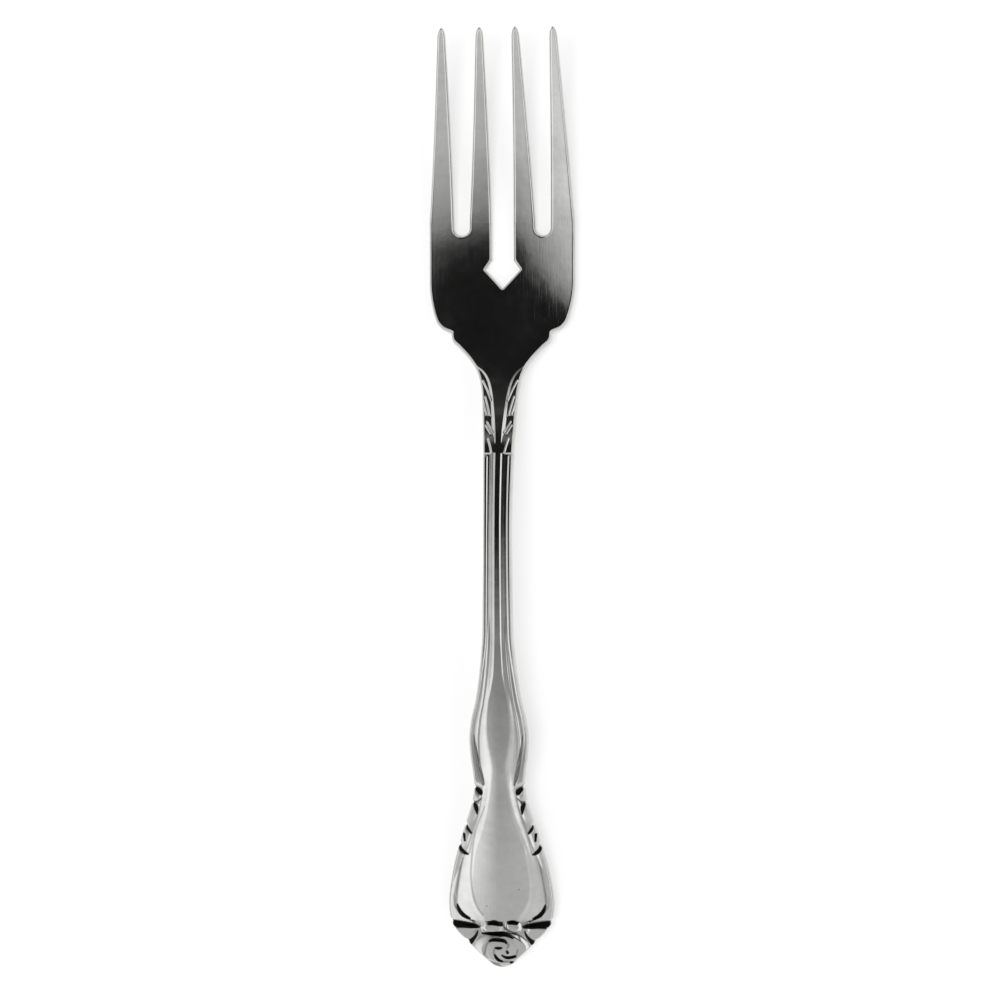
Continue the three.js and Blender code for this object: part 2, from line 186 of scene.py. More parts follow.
class SmoothCurve:
    """A cubic through (station, value) points that is flat at each turning point and never overshoots."""

    def __init__(self, points):
        """Slopes at the points: the harmonic mean of both chords, 0 at a turn, and no bend at the ends."""
        self.stations, self.values = np.array(points, float).T
        chords = np.diff(self.values) / np.diff(self.stations)
        before, after = chords[:-1], chords[1:]
        rising = before * after > 0
        total = np.where(rising, before + after, 1.0)
        inner = np.where(rising, 2.0 * before * after / total, 0.0)
        self.slopes = np.concatenate([chords[:1], inner, chords[-1:]])
        self.slopes[0] = (3.0 * chords[0] - self.slopes[1]) / 2.0
        self.slopes[-1] = (3.0 * chords[-1] - self.slopes[-2]) / 2.0

    def sample(self, station):
        """The value and the slope at a station, held at the end values outside the points."""
        s = np.clip(station, self.stations[0], self.stations[-1])
        i = np.clip(np.searchsorted(self.stations, s) - 1, 0, len(self.stations) - 2)
        span = self.stations[i + 1] - self.stations[i]
        t = (s - self.stations[i]) / span
        rise = self.values[i + 1] - self.values[i]
        bend_in = span * self.slopes[i] - rise
        bend_out = rise - span * self.slopes[i + 1]
        bend = bend_in * (1.0 - t) + bend_out * t
        value = self.values[i] + rise * t + t * (1.0 - t) * bend
        slope = (rise + (1.0 - 2.0 * t) * bend + t * (1.0 - t) * (bend_out - bend_in)) / span
        return value, slope

    def __call__(self, station):
        """The value at a station."""
        return self.sample(station)[0]


def along_blade(share):
    """The station a share of the way along the blade."""
    return mix(AT_ROSE, AT_WAIST, share)


def along_hip(share):
    """The station a share of the way along the hip."""
    return mix(AT_WAIST, AT_STEM, share)


def along_neck(share):
    """The station a share of the way along the neck."""
    return mix(AT_COLLAR, AT_SHOULDER, share)


def outline_points(start, end, start_width, end_width, shares):
    """Outline points of a zone from (share of its length, share of the way between two widths) pairs."""
    return [(mix(start, end, a), mix(start_width, end_width, b) / 2.0) for a, b in shares]


outline = SmoothCurve(
    outline_points(AT_END, AT_ROSE, END_WIDTH, BLADE_WIDTH, (
        (0, 0), (0.05, 0.08), (0.14, 0.18), (0.36, 0.43), (0.57, 0.64), (0.78, 0.85), (1, 0.97)))
    + outline_points(AT_ROSE, AT_WAIST, BLADE_WIDTH, WAIST_WIDTH, (
        (0.11, 0), (0.34, 0.15), (0.5, 0.34), (0.65, 0.56), (0.8, 0.81), (0.91, 0.95), (1, 1)))
    + outline_points(AT_WAIST, AT_STEM, WAIST_WIDTH, HIP_WIDTH, ((0.07, 0.2), (0.19, 0.75), (0.3, 1)))
    + outline_points(AT_WAIST, AT_STEM, HIP_WIDTH, STEM_WIDTH, (
        (0.42, 0.13), (0.55, 0.43), (0.69, 0.65), (0.84, 0.82), (1, 0.93)))
    + outline_points(AT_STEM, AT_COLLAR, STEM_WIDTH, COLLAR_WIDTH, ((0.6, 0), (1, 1)))
    + outline_points(AT_COLLAR, AT_SHOULDER, COLLAR_WIDTH, SHOULDER_WIDTH, (
        (0.35, 0.05), (0.5, 0.08), (0.64, 0.16), (0.73, 0.27), (0.81, 0.45), (0.92, 0.79), (0.97, 0.96),
        (1, 1)))
    + outline_points(AT_SHOULDER, AT_ROOT, SHOULDER_WIDTH, HEAD_WIDTH, (
        (0.035, 0.02), (0.085, 0.46), (0.145, 0.69), (0.275, 0.88), (0.4, 0.98), (0.47, 1)))
)


def half_width(s):
    """Half the fork's width: the outline, notched at the leaf tips and closed at the handle's end."""
    notch = np.max([bump((s - top) / (NOTCH_WIDTH / 2.0)) for top in LEAF_TOPS], axis=0)
    return (outline(s) - NOTCH_DEPTH * notch) * edge_round(s + CLOSING, END_ROUND)


def outline_slant(s):
    """How fast the half-width grows along the fork: its change over a small step on both sides of s."""
    change = half_width(s + SLANT_STEP) - half_width(np.abs(s - SLANT_STEP))
    return change / (2.0 * SLANT_STEP)


mid_height = SmoothCurve((
    (AT_END, HANDLE_THICKNESS / 2.0 - HANDLE_FLAT_DEPTH),
    (AT_COLLAR - ARCH_FROM_COLLAR, ARCH_HEIGHT),
    (AT_SHOULDER + BELLY_FROM_SHOULDER, PALM_THICKNESS / 2.0 - BELLY_FLAT_DEPTH),
    (AT_TIP, TIP_HEIGHT),
))
half_thickness = SmoothCurve((
    (AT_END, HANDLE_THICKNESS / 2.0),
    (AT_WAIST, HANDLE_THICKNESS / 2.0),
    (mix(AT_STEM, AT_COLLAR, STEM_THICKEST_SHARE), STEM_THICKNESS / 2.0),
    (AT_SHOULDER, mix(PALM_THICKNESS, STEM_THICKNESS, SHOULDER_THICKNESS_SHARE) / 2.0),
    (mix(AT_SHOULDER, AT_ROOT, PALM_EVEN_SHARE), PALM_THICKNESS / 2.0),
    (AT_ROOT, PALM_THICKNESS / 2.0),
    (AT_TIP, TINE_TIP_THICKNESS / 2.0),
))
dish = SmoothCurve((
    (AT_COLLAR, 0.0),
    (AT_SHOULDER, DISH_END_SHARE * DISH_DEPTH),
    (AT_SHOULDER + BELLY_FROM_SHOULDER, DISH_DEPTH),
    (AT_TIP, DISH_END_SHARE * DISH_DEPTH),
))


def place(s, x, h):
    """Points in metres at station s, x off the centre line and h above the arched, dished mid-surface.

    A point that would lie under the table plane is put on it."""
    middle, slope = mid_height.sample(s)
    length = np.hypot(1.0, slope)
    lift = h + dish(s) * (x / (HEAD_WIDTH / 2.0)) ** 2
    y = s - MID_LENGTH - lift * slope / length
    z = np.maximum(middle + lift / length, 0.0)
    return np.stack([x, y, z], axis=-1) * MM


def face_and_back(s, x, rounding, ornament=0.0):
    """The face at rounding * (thickness / 2 + ornament), and the back at -rounding * thickness / 2."""
    plain = half_thickness(s)
    return place(s, x, rounding * (plain + ornament)), place(s, x, -rounding * plain)


# The raised panel as shares of the outline's half-width: its top, and the foot of its sloping border
panel_share = SmoothCurve((
    (AT_END, 0.3), (AT_ROSE, 0.31), (AT_ROSE + 1.0, 0.37), (AT_ROSE + 2.0, 0.44), (AT_ROSE + 4.0, 0.53),
    (along_blade(0.3), 0.57), (along_blade(0.5), 0.57), (along_blade(0.66), 0.47), (AT_WAIST, 0.3),
    (along_hip(0.12), 0.2), (along_hip(0.25), 0.3), (along_hip(0.38), 0.38), (along_hip(0.53), 0.41),
    (along_hip(0.64), 0.31), (along_hip(0.75), 0.22), (AT_STEM, 0.18), (AT_COLLAR, 0.17),
    (along_neck(0.17), 0.2), (along_neck(0.3), 0.25), (along_neck(0.45), 0.34),
    (along_neck(0.6), 0.48), (along_neck(0.7), 0.68), (along_neck(0.77), 1.0),
))
foot_share = SmoothCurve((
    (AT_END, 0.8), (AT_ROSE, 0.82), (along_blade(0.12), 0.83), (along_blade(0.45), 0.79),
    (along_blade(0.66), 0.72), (AT_WAIST, 0.62), (along_hip(0.12), 0.6), (along_hip(0.3), 0.66),
    (along_hip(0.55), 0.66), (along_hip(0.8), 0.61), (AT_STEM, 0.6), (AT_COLLAR, 0.58),
    (along_neck(0.15), 0.42), (along_neck(0.3), 0.46), (along_neck(0.45), 0.51),
    (along_neck(0.6), 0.62), (along_neck(0.7), 0.81), (along_neck(0.77), 1.15),
))

# Shape of the border: 1 for straight slopes and 0 for one soft slope, and how far the border falls in its
# first quarter, which is a steep edge on the stem
edge_sharpness = SmoothCurve((
    (AT_END, 0.9), (along_blade(0.5), 0.9), (along_blade(0.75), 0.3), (AT_WAIST, 0.0),
    (along_hip(0.4), 0.05), (along_hip(0.55), 0.3), (along_hip(0.75), 0.9), (AT_STEM, 1.0),
))
edge_drop = SmoothCurve((
    (AT_END, 0.29), (along_hip(0.45), 0.29), (along_hip(0.75), 0.52), (AT_COLLAR, 0.52),
    (along_neck(0.3), 0.29),
))
PANEL_BREAK = 0.25

# Where the ground beside the panel is level with it: above the collar and round the rose, with its walls
GAP_START = AT_COLLAR
GAP_END = AT_COLLAR + 4.4
GAP_WALLS = (0.3, 3.2)
ROSE_GROUND = AT_ROSE - 0.4
ROSE_GROUND_WALL = 0.8

# How much of the panel's height is left on its way along the neck to the palm
panel_fade = SmoothCurve((
    (AT_END, 1.0), (along_neck(0.2), 1.0), (along_neck(0.45), 0.6), (along_neck(0.8), 0.5),
    (mix(AT_SHOULDER, AT_ROOT, 0.3), 0.0),
))


def panel_height(s, u, top, foot):
    """The raised panel, 0 to 1: level to its top, then a border down to its foot.

    In the gap at the collar and round the rose it takes the full width."""
    t = (u - top) / (foot - top)
    drop = edge_drop(s)
    edged = drop * bevel(t / PANEL_BREAK) + (1.0 - drop) * bevel((t - PANEL_BREAK) / (1.0 - PANEL_BREAK))
    border = 1.0 - mix(ramp(t), edged, edge_sharpness(s))
    gap = ramp((s - GAP_START) / GAP_WALLS[0]) * ramp((GAP_END - s) / GAP_WALLS[1])
    ground = ramp((ROSE_GROUND - s) / ROSE_GROUND_WALL)
    return np.maximum.reduce([border, gap, ground]) * panel_fade(s)


# The crown of the blade and hip: a parabola across, with the same slope all along its edges
CROWN_SLOPE = 0.2
CROWN_LEVEL = 0.3
CROWN_FADE = 1.5
crown_half = SmoothCurve((
    (AT_ROSE, 11.0), (along_blade(0.25), 8.5), (along_blade(0.66), 4.6), (AT_WAIST, 2.8),
    (along_hip(0.3), 4.4), (AT_STEM, 1.0),
))


def crown_height(s, u):
    """Height of the crown: a level less half the edge slope times u * u / half-width.

    It fades to the stem, and the rose end is level."""
    half = crown_half(s)
    drop = CROWN_SLOPE / 2.0 * np.minimum(u, half) ** 2 / half
    drop = drop * ramp((s - AT_ROSE + CROWN_FADE) / CROWN_FADE)
    return (CROWN_LEVEL - drop) * ramp((AT_STEM - s) / HIP_LENGTH)


# The thread that runs beside the panel on the hip and stem
thread_share = SmoothCurve(((AT_WAIST, 0.72), (along_hip(0.3), 0.7), (AT_STEM, 0.56), (AT_COLLAR, 0.53)))
thread_fade = SmoothCurve((
    (AT_WAIST, 0.0), (AT_WAIST + 4.0, 1.0), (AT_STEM - 6.0, 1.0), (AT_STEM + 3.0, 0.0),
))
THREAD_WIDTH = 0.62

# The rim of hip and stem: where its inner face starts and ends; at the waist it broadens into a leaf
rim_foot_share = SmoothCurve((
    (AT_WAIST - 0.4, 0.56), (AT_WAIST + 0.9, 0.62), (AT_WAIST + 2.9, 0.65), (AT_WAIST + 5.4, 0.73),
    (AT_WAIST + 7.9, 0.8), (along_hip(0.5), 0.82), (along_hip(0.7), 0.78), (AT_STEM, 0.64),
    (AT_COLLAR, 0.63),
))
rim_top_share = SmoothCurve((
    (AT_WAIST - 0.4, 0.66), (AT_WAIST + 0.9, 0.75), (AT_WAIST + 2.9, 0.82), (AT_WAIST + 5.4, 0.86),
    (AT_WAIST + 7.9, 0.9), (along_hip(0.5), 0.92), (along_hip(0.7), 0.88), (AT_STEM, 0.76),
    (AT_COLLAR, 0.75),
))

# The rim's lower end, a slanting leaf tip at the waist, and its upper end at the collar
RIM_TIP_INNER = 2.4
RIM_TIP_LOW = AT_WAIST - 0.6
RIM_TIP_SLANT = 0.9
RIM_TIP_STEP = 0.6
RIM_COLLAR_STEP = 0.5

# The rim of the blade, which curls in round the panel's lower corners
blade_rim = SmoothCurve((
    (AT_ROSE - 0.2, 4.4), (AT_ROSE + 0.2, 5.6), (AT_ROSE + 0.8, 6.5), (AT_ROSE + 1.5, 7.15),
    (AT_ROSE + 2.5, 7.65), (AT_ROSE + 3.8, 7.72), (AT_ROSE + 5.1, 7.45), (AT_ROSE + 7.6, 6.95),
    (AT_ROSE + 10.7, 6.2), (AT_ROSE + 13.0, 5.4),
))
BLADE_RIM_FACE = 0.6
BLADE_RIM_TOP = AT_WAIST - 11.9
BLADE_RIM_SLANT = 1.7
BLADE_RIM_STEP = 0.9

# Side leaves: the step up at the top, the level share of the length, and the share of the width that rises
LEAF_STEP = 0.7
LEAF_LEVEL_SHARE = 0.3
LEAF_INNER_SHARE = 0.35

# Each side leaf: how far its top lies below the waist, its slant and its length
SIDE_LEAVES = ((0.3, 1.4, 2.7), (2.9, -0.5, 4.3), (6.8, 1.4, 3.9))


def leaf_height(s, across, top, slant, length):
    """A leaf lobe, 0 to 1: it rises behind a slanting line and sinks slowly towards its lower end.

    across runs from 0 at the panel's foot to 1 on the outline."""
    along = top - slant * (1.0 - np.clip(across, 0.0, 1.0)) - s
    sunk = ramp((along / length - LEAF_LEVEL_SHARE) / (1.0 - LEAF_LEVEL_SHARE))
    return ramp(along / LEAF_STEP) * (1.0 - sunk) * ramp(across / LEAF_INNER_SHARE)


def side_leaves(s, u, half, foot):
    """Three leaf lobes in the strip between the panel's foot and the outline."""
    across = (u - foot) / (half - foot)
    return np.maximum.reduce([
        leaf_height(s, across, AT_WAIST - drop, slant, length) for drop, slant, length in SIDE_LEAVES
    ])


def blade_rim_height(s, u, half, foot):
    """The rim of the blade, 0 to 1: it starts as a leaf tip and ends in a curl above the rose leaves."""
    across = np.clip((u - foot) / (half - foot), 0.0, 1.0)
    face = ramp((u - blade_rim(s)) / BLADE_RIM_FACE)
    upper = ramp((BLADE_RIM_TOP + BLADE_RIM_SLANT * across - s) / BLADE_RIM_STEP)
    return face * upper


def hip_rim_height(s, u, half):
    """The rim of hip and stem, 0 to 1, ending at the waist in a slanting leaf tip."""
    foot = rim_foot_share(s) * half
    top = rim_top_share(s) * half
    across = np.clip((u - RIM_TIP_INNER) / (half - RIM_TIP_INNER), 0.0, 1.0)
    lower = ramp((s - (RIM_TIP_LOW + RIM_TIP_SLANT * across)) / RIM_TIP_STEP)
    upper = ramp((AT_COLLAR - s) / RIM_COLLAR_STEP)
    return ramp((u - foot) / (top - foot)) * (lower * upper)


PETAL_SLOPE = 0.4


def petal(u, s, centre, half_long, half_wide, angle):
    """A petal, 0 to 1: a plateau with a sloping border over a turned ellipse."""
    turn = np.radians(angle)
    du = u - centre[0]
    ds = s - centre[1]
    along = (du * np.cos(turn) + ds * np.sin(turn)) / half_long
    over = (ds * np.cos(turn) - du * np.sin(turn)) / half_wide
    return ramp((1.0 - np.hypot(along, over)) / PETAL_SLOPE)


# The rose: its middle and dome, and its outer petals' half-axes and border widths on the left and the right
ROSE_CENTRE = 3.35
ROSE_RADIUS = 2.75
OUTER_PETALS = (5.1, 3.1)
PETAL_BORDERS = (1.35, 0.7)

# Shares of the rose's height: the outer petals, the step up to the dome and the dome; and the step's width
OUTER_PETALS_SHARE = 0.7
DOME_STEP_SHARE = 0.03
DOME_SHARE = 0.08
DOME_STEP = 0.5

# The sepals above the rose, each from its inner end to its outer end with the inner end's bevel
SEPALS = ((0.5, -3.5, 0.9), (0.8, 3.6, 0.3))
SEPAL_BEVEL = 0.7
SEPAL_BOW = 0.5
SEPAL_STEPS = (0.25, 0.3)
SEPAL_SHARE = 0.42
SEPALS_LOW = AT_ROSE - 2.1
SEPALS_HIGH = AT_ROSE - 0.2

# The broad leaf on each side of the rose
ROSE_LEAF_CENTRE = (6.3, AT_ROSE - 2.2)
ROSE_LEAF_HALVES = (2.9, 1.7)
ROSE_LEAF_ANGLE = 28.0
ROSE_LEAF_SHARE = 0.15


def rose_height(s, x):
    """A rose, 0 to 1: a low dome over an oval of outer petals, which is level with a bevelled border.

    The border is broad on the left and narrow on the right."""
    away = np.hypot(x, s - ROSE_CENTRE)
    reach = np.hypot(x / OUTER_PETALS[0], (s - ROSE_CENTRE) / OUTER_PETALS[1])
    inset = (1.0 - reach) * (OUTER_PETALS[0] + OUTER_PETALS[1]) / 2.0
    dome = bump(np.minimum(away / ROSE_RADIUS, 1.0))
    border = mix(*PETAL_BORDERS, ramp(x / ROSE_RADIUS + 0.5))
    petals = OUTER_PETALS_SHARE * bevel(inset / border)
    step = DOME_STEP_SHARE * ramp((ROSE_RADIUS - away) / DOME_STEP)
    return petals + step + DOME_SHARE * dome


def sepal(s, x, inner, outer, inner_bevel):
    """A sepal above the rose, 0 to 1: a level bar between two bevelled ends; the outer end bows."""
    middle = (SEPALS_LOW + SEPALS_HIGH) / 2.0
    bow = SEPAL_BOW * ((s - middle) / (SEPALS_HIGH - middle)) ** 2
    side = np.sign(outer - inner)
    ends = bevel(side * (x - inner) / inner_bevel) * bevel((side * (outer - x) - bow) / SEPAL_BEVEL)
    return ends * ramp((s - SEPALS_LOW) / SEPAL_STEPS[0]) * ramp((SEPALS_HIGH - s) / SEPAL_STEPS[1])


def rose_leaves(s, x):
    """The leaves above the rose, 0 to 1: two sepals at its top and a broad leaf on each side."""
    sepals = [SEPAL_SHARE * sepal(s, x, *ends) for ends in SEPALS]
    leaf = petal(np.abs(x), s, ROSE_LEAF_CENTRE, *ROSE_LEAF_HALVES, ROSE_LEAF_ANGLE)
    return np.maximum.reduce(sepals + [ROSE_LEAF_SHARE * leaf])


def nearest_on_line(u, s, start, end):
    """The place on a straight line that is nearest to points: its share of the line, and its distance."""
    run_u = end[0] - start[0]
    run_s = end[1] - start[1]
    t = ((u - start[0]) * run_u + (s - start[1]) * run_s) / (run_u**2 + run_s**2)
    t = np.clip(t, 0.0, 1.0)
    return t, np.hypot(u - mix(start[0], end[0], t), s - mix(start[1], end[1], t))


STROKE_WALL = 0.07


def stroke(u, s, points, width):
    """A thin facet along a line of (u, s) points, 0 to 1: a steep wall on one side, a slope on the other.

    The slope lies on the left of the way along the points, with u to the right and s up."""
    height = np.zeros(np.broadcast(u, s).shape)
    for start, end in zip(points[:-1], points[1:]):
        _, away = nearest_on_line(u, s, start, end)
        left = (end[0] - start[0]) * (s - start[1]) - (end[1] - start[1]) * (u - start[0]) > 0.0
        height = np.maximum(height, 1.0 - away / np.where(left, width, STROKE_WALL))
    return height


# The veins of the neck's leaves as (u, s) points, with s from the collar
NECK_STROKES = (
    ((2.9, 12.6), (2.05, 10.9), (1.4, 9.3)),
    ((2.4, 9.8), (1.95, 8.2), (1.6, 6.7)),
    ((2.8, 9.4), (2.4, 7.8), (2.1, 6.8)),
    ((2.7, 6.6), (1.45, 6.5)),
    ((1.95, 5.5), (1.3, 4.4), (0.95, 3.8)),
    ((2.15, 4.9), (1.6, 4.0), (1.3, 3.5)),
    ((1.7, 2.6), (1.3, 1.3), (1.1, 0.4)),
)
NECK_STROKE_WIDTH = 0.24


def neck_leaves(s, u):
    """The leaf veins on the neck, 0 to 1: thin ridges on both sides of the panel."""
    local = s - AT_COLLAR
    return np.maximum.reduce([stroke(u, local, points, NECK_STROKE_WIDTH) for points in NECK_STROKES])


# Cuts of the ornament on each side of the centre line: how deep each is and how dark its painted shade and
# patina are, and its (u, s, half-width) points
CUTS = (
    # Grooves along the inner side of the hip's rim and of the blade's rim
    (0.72, ((4.15, AT_WAIST + 8.6, 0.0), (3.95, AT_WAIST + 6.8, 0.12), (3.55, AT_WAIST + 4.2, 0.26),
            (3.0, AT_WAIST + 1.6, 0.3), (2.65, AT_WAIST + 0.3, 0.14))),
    (0.45, ((6.5, AT_WAIST - 12.6, 0.0), (7.0, AT_ROSE + 8.0, 0.09), (7.5, AT_ROSE + 5.0, 0.1),
            (7.65, AT_ROSE + 2.8, 0.05))),
    # Undercuts of the leaf tips beside the panel, from the waist down
    (1.0, ((4.45, AT_WAIST + 0.1, 0.08), (3.9, AT_WAIST - 0.45, 0.26), (3.4, AT_WAIST - 0.9, 0.42),
           (3.2, AT_WAIST - 1.25, 0.34))),
    (0.8, ((4.7, AT_WAIST - 2.85, 0.07), (3.7, AT_WAIST - 2.7, 0.09), (3.1, AT_WAIST - 2.2, 0.06))),
    (1.0, ((4.6, AT_WAIST - 2.95, 0.08), (4.15, AT_WAIST - 3.25, 0.26), (3.95, AT_WAIST - 3.85, 0.3),
           (3.85, AT_WAIST - 4.9, 0.06))),
    (1.0, ((5.65, AT_WAIST - 7.0, 0.1), (5.4, AT_WAIST - 7.6, 0.2), (4.95, AT_WAIST - 8.2, 0.14))),
    (1.0, ((6.15, AT_WAIST - 8.4, 0.17), (6.05, AT_WAIST - 9.5, 0.12))),
    (1.0, ((6.95, AT_WAIST - 10.2, 0.12), (6.75, AT_WAIST - 11.0, 0.26), (6.2, AT_WAIST - 11.6, 0.26),
           (5.5, AT_WAIST - 11.9, 0.06))),
    # The curls round the panel's lower corners
    (1.0, ((7.55, AT_ROSE + 2.5, 0.08), (7.25, AT_ROSE + 1.6, 0.25), (6.6, AT_ROSE + 0.8, 0.28),
           (5.5, AT_ROSE + 0.2, 0.16))),
    # Undercuts of the leaves beside the rose, and of the sepals above it
    (1.0, ((8.7, AT_ROSE - 0.55, 0.38), (6.4, AT_ROSE - 0.8, 0.42), (4.6, AT_ROSE - 1.0, 0.34),
           (3.8, AT_ROSE - 1.15, 0.1))),
    (1.0, ((4.05, AT_ROSE - 1.9, 0.08), (4.3, AT_ROSE - 2.5, 0.15), (4.8, AT_ROSE - 3.2, 0.26),
           (5.5, AT_ROSE - 3.8, 0.42), (6.2, AT_ROSE - 3.8, 0.36))),
    # The line at the foot of the panel's border, beside the leaves
    (0.35, ((3.25, AT_WAIST - 3.6, 0.05), (3.9, AT_WAIST - 6.0, 0.1), (4.7, AT_WAIST - 9.0, 0.1),
            (5.3, AT_WAIST - 11.6, 0.08))),
)

# Cuts that are not the same on both sides, most of them in the rose: (x, s, half-width) points
ROSE_CUTS = (
    # A shallow cut along the left edge of the panel, darkened as a painted reflection of a dark crease, on
    # the left only
    (0.45, ((-2.5, AT_ROSE + 19.6, 0.0), (-4.2, AT_ROSE + 15.2, 0.03), (-4.95, AT_ROSE + 10.1, 0.06),
            (-5.05, AT_ROSE + 6.8, 0.06), (-4.7, AT_ROSE + 4.0, 0.05), (-3.95, AT_ROSE + 2.0, 0.04),
            (-3.1, AT_ROSE + 0.9, 0.0))),
    # The hollow under the sepals, and the caps of the two sepals
    (1.0, ((-3.3, 6.15, 0.08), (-2.2, 6.1, 0.18), (-0.5, 6.15, 0.36), (0.9, 6.05, 0.28), (2.0, 5.5, 0.1))),
    (1.0, ((-2.1, 7.95, 0.26), (-1.1, 8.0, 0.36), (0.0, 7.75, 0.28))),
    (1.0, ((1.25, 8.05, 0.22), (2.0, 8.1, 0.28), (2.7, 8.0, 0.24))),
    (0.8, ((0.3, 7.6, 0.07), (0.8, 6.95, 0.14), (1.85, 6.45, 0.12), (2.75, 6.05, 0.08), (3.25, 5.1, 0.05))),
    # Two petal lines that wind in from opposite sides, and the dark heart between them
    (0.5, ((-3.0, 2.5, 0.05), (-2.75, 3.3, 0.08), (-2.45, 4.3, 0.1), (-2.0, 4.9, 0.15))),
    (1.0, ((-2.0, 4.9, 0.12), (-1.5, 5.1, 0.22), (-0.5, 5.15, 0.28), (0.5, 5.0, 0.25), (0.85, 4.7, 0.16))),
    (0.5, ((0.85, 4.7, 0.14), (1.25, 4.25, 0.08), (1.0, 3.75, 0.05))),
    (0.5, ((2.35, 2.3, 0.14), (2.6, 2.7, 0.08), (2.75, 3.4, 0.05))),
    (1.0, ((0.1, 2.45, 0.08), (0.75, 2.1, 0.19), (1.6, 2.1, 0.2), (2.35, 2.3, 0.17))),
    (0.5, ((-1.15, 3.7, 0.06), (-1.3, 2.9, 0.1), (-1.05, 2.3, 0.18))),
    (1.0, ((-1.15, 2.5, 0.1), (-0.95, 2.1, 0.19), (-0.5, 1.63, 0.2), (0.1, 1.4, 0.12))),
    (0.5, ((0.1, 1.4, 0.12), (1.3, 1.4, 0.1))),
    (1.0, ((1.6, 1.25, 0.15), (2.4, 1.15, 0.16))),
    (1.0, ((-1.0, 3.75, 0.1), (-0.5, 3.7, 0.2), (0.0, 3.75, 0.12))),
    (1.0, ((0.95, 3.15, 0.14), (1.05, 2.95, 0.2))),
)

# Cuts: the width of their walls, how far away they are still worked out, the soft edges of their painted
# shade and patina in deep and in shallow cuts, its reach beyond the cut, and the steps in each span of a
# smooth line
CUT_WALL = 0.2
CUT_MARGIN = 1.0
STAIN_AND_SHADE_EDGE = 0.08
SOFT_STAIN_AND_SHADE_EDGE = 0.4
STAIN_AND_SHADE_REACH = 0.09
LINE_STEPS = 5


def smooth_line(points):
    """Points on a smooth line through the given ones.

    The cubic of each span passes a point along the chord between that point's neighbours."""
    p = np.array(points)
    p = np.concatenate([2.0 * p[:1] - p[1:2], p, 2.0 * p[-1:] - p[-2:-1]])
    before, start, end, after = p[:-3, None], p[1:-2, None], p[2:-1, None], p[3:, None]
    t = np.linspace(0.0, 1.0, LINE_STEPS, endpoint=False)[None, :, None]
    line = start + 0.5 * t * (
        end - before
        + t * (2.0 * before - 5.0 * start + 4.0 * end - after + t * (3.0 * (start - end) + after - before))
    )
    return np.concatenate([line.reshape(-1, p.shape[1]), p[-2:-1]])


def cut_depth(s, across, cuts):
    """How far cuts reach down and how dark their painted shade and patina are, 0 to 1: the steep wall lies
    inside the dark band.
    """
    depth = np.zeros(np.broadcast(across, s).shape)
    stain_and_shade = np.zeros(depth.shape)
    for share, points in cuts:
        line = smooth_line(points)
        if line[:, 1].min() > s.max() + CUT_MARGIN or line[:, 1].max() < s.min() - CUT_MARGIN:
            continue
        for start, end in zip(line[:-1], line[1:]):
            t, away = nearest_on_line(across, s, start, end)
            inside = mix(start[2], end[2], t) - away
            depth = np.maximum(depth, share * share * ramp(inside / CUT_WALL))
            edge = mix(SOFT_STAIN_AND_SHADE_EDGE, STAIN_AND_SHADE_EDGE, share)
            stain_and_shade = np.maximum(stain_and_shade, share * ramp((inside + STAIN_AND_SHADE_REACH) / edge + 0.5))
    return depth, stain_and_shade


RISES = ("panel_rise", "leaf_rise", "rim_rise", "thread_rise", "rose_rise", "vein_rise", "cut_rise")


def relief(s, x, sizes):
    """Height of the ornament on the face, and how dark the painted shade and patina of its cuts are, 0 to 1.

    The panel with its crown stands up, with the highest of leaves, rims, thread, rose and neck veins on
    top of it, and the cuts go down."""
    u = np.abs(x)
    half = outline(s)
    top = panel_share(s) * half
    foot = foot_share(s) * half
    rise = {name: getattr(sizes, name) / MM for name in RISES}
    panel = rise["panel_rise"] * panel_height(s, u, top, foot)
    thread = bump((u - thread_share(s) * half) / (THREAD_WIDTH / 2.0)) * thread_fade(s)
    raised = np.maximum.reduce([
        rise["leaf_rise"] * side_leaves(s, u, half, foot),
        rise["rim_rise"] * np.maximum(blade_rim_height(s, u, half, foot), hip_rim_height(s, u, half)),
        rise["thread_rise"] * thread,
        rise["rose_rise"] * np.maximum(rose_height(s, x), rose_leaves(s, x)),
        rise["vein_rise"] * neck_leaves(s, u),
    ])
    sides, side_stain_and_shade = cut_depth(s, u, CUTS)
    rose, rose_stain_and_shade = cut_depth(s, x, ROSE_CUTS)
    cut = np.maximum(sides, rose)
    height = panel + crown_height(s, u) + raised - rise["cut_rise"] * cut
    return height, np.maximum(side_stain_and_shade, rose_stain_and_shade)


def box_blur(values, reach, axis):
    """The mean of each grid value and its neighbours up to a reach on both sides along an axis."""
    padding = [(0, 0), (0, 0)]
    padding[axis] = (reach + 1, reach)
    total = np.cumsum(np.pad(values, padding, mode="edge"), axis=axis)
    width = 2 * reach + 1
    upper = np.take(total, np.arange(width, total.shape[axis]), axis=axis)
    lower = np.take(total, np.arange(0, total.shape[axis] - width), axis=axis)
    return (upper - lower) / width


# Recesses: the reach and passes of the blur, the depth that counts as full, and how dark their painted shade
# and patina are at most
RECESS_REACH = 0.35
BLUR_PASSES = 2
RECESS_DEPTH = 0.07
RECESS_TARNISH_AND_SHADE = 0.25

# How far from the outline the painted shade and patina of recesses and cuts fade out
RECESS_INSET = 0.3
STAIN_AND_SHADE_INSET = 0.15


def recess_mask(height, row_step, column_step):
    """How deep each grid point lies under its neighbourhood, 0 to 1: the blurred height less the height."""
    blurred = height
    for _ in range(BLUR_PASSES):
        blurred = box_blur(blurred, max(1, int(round(RECESS_REACH / row_step))), 0)
        blurred = box_blur(blurred, max(1, int(round(RECESS_REACH / column_step))), 1)
    return np.clip((blurred - height) / RECESS_DEPTH, 0.0, 1.0)


# Points on the same step of this size, in metres, are one point
WELD_STEP = MM * 1e-4


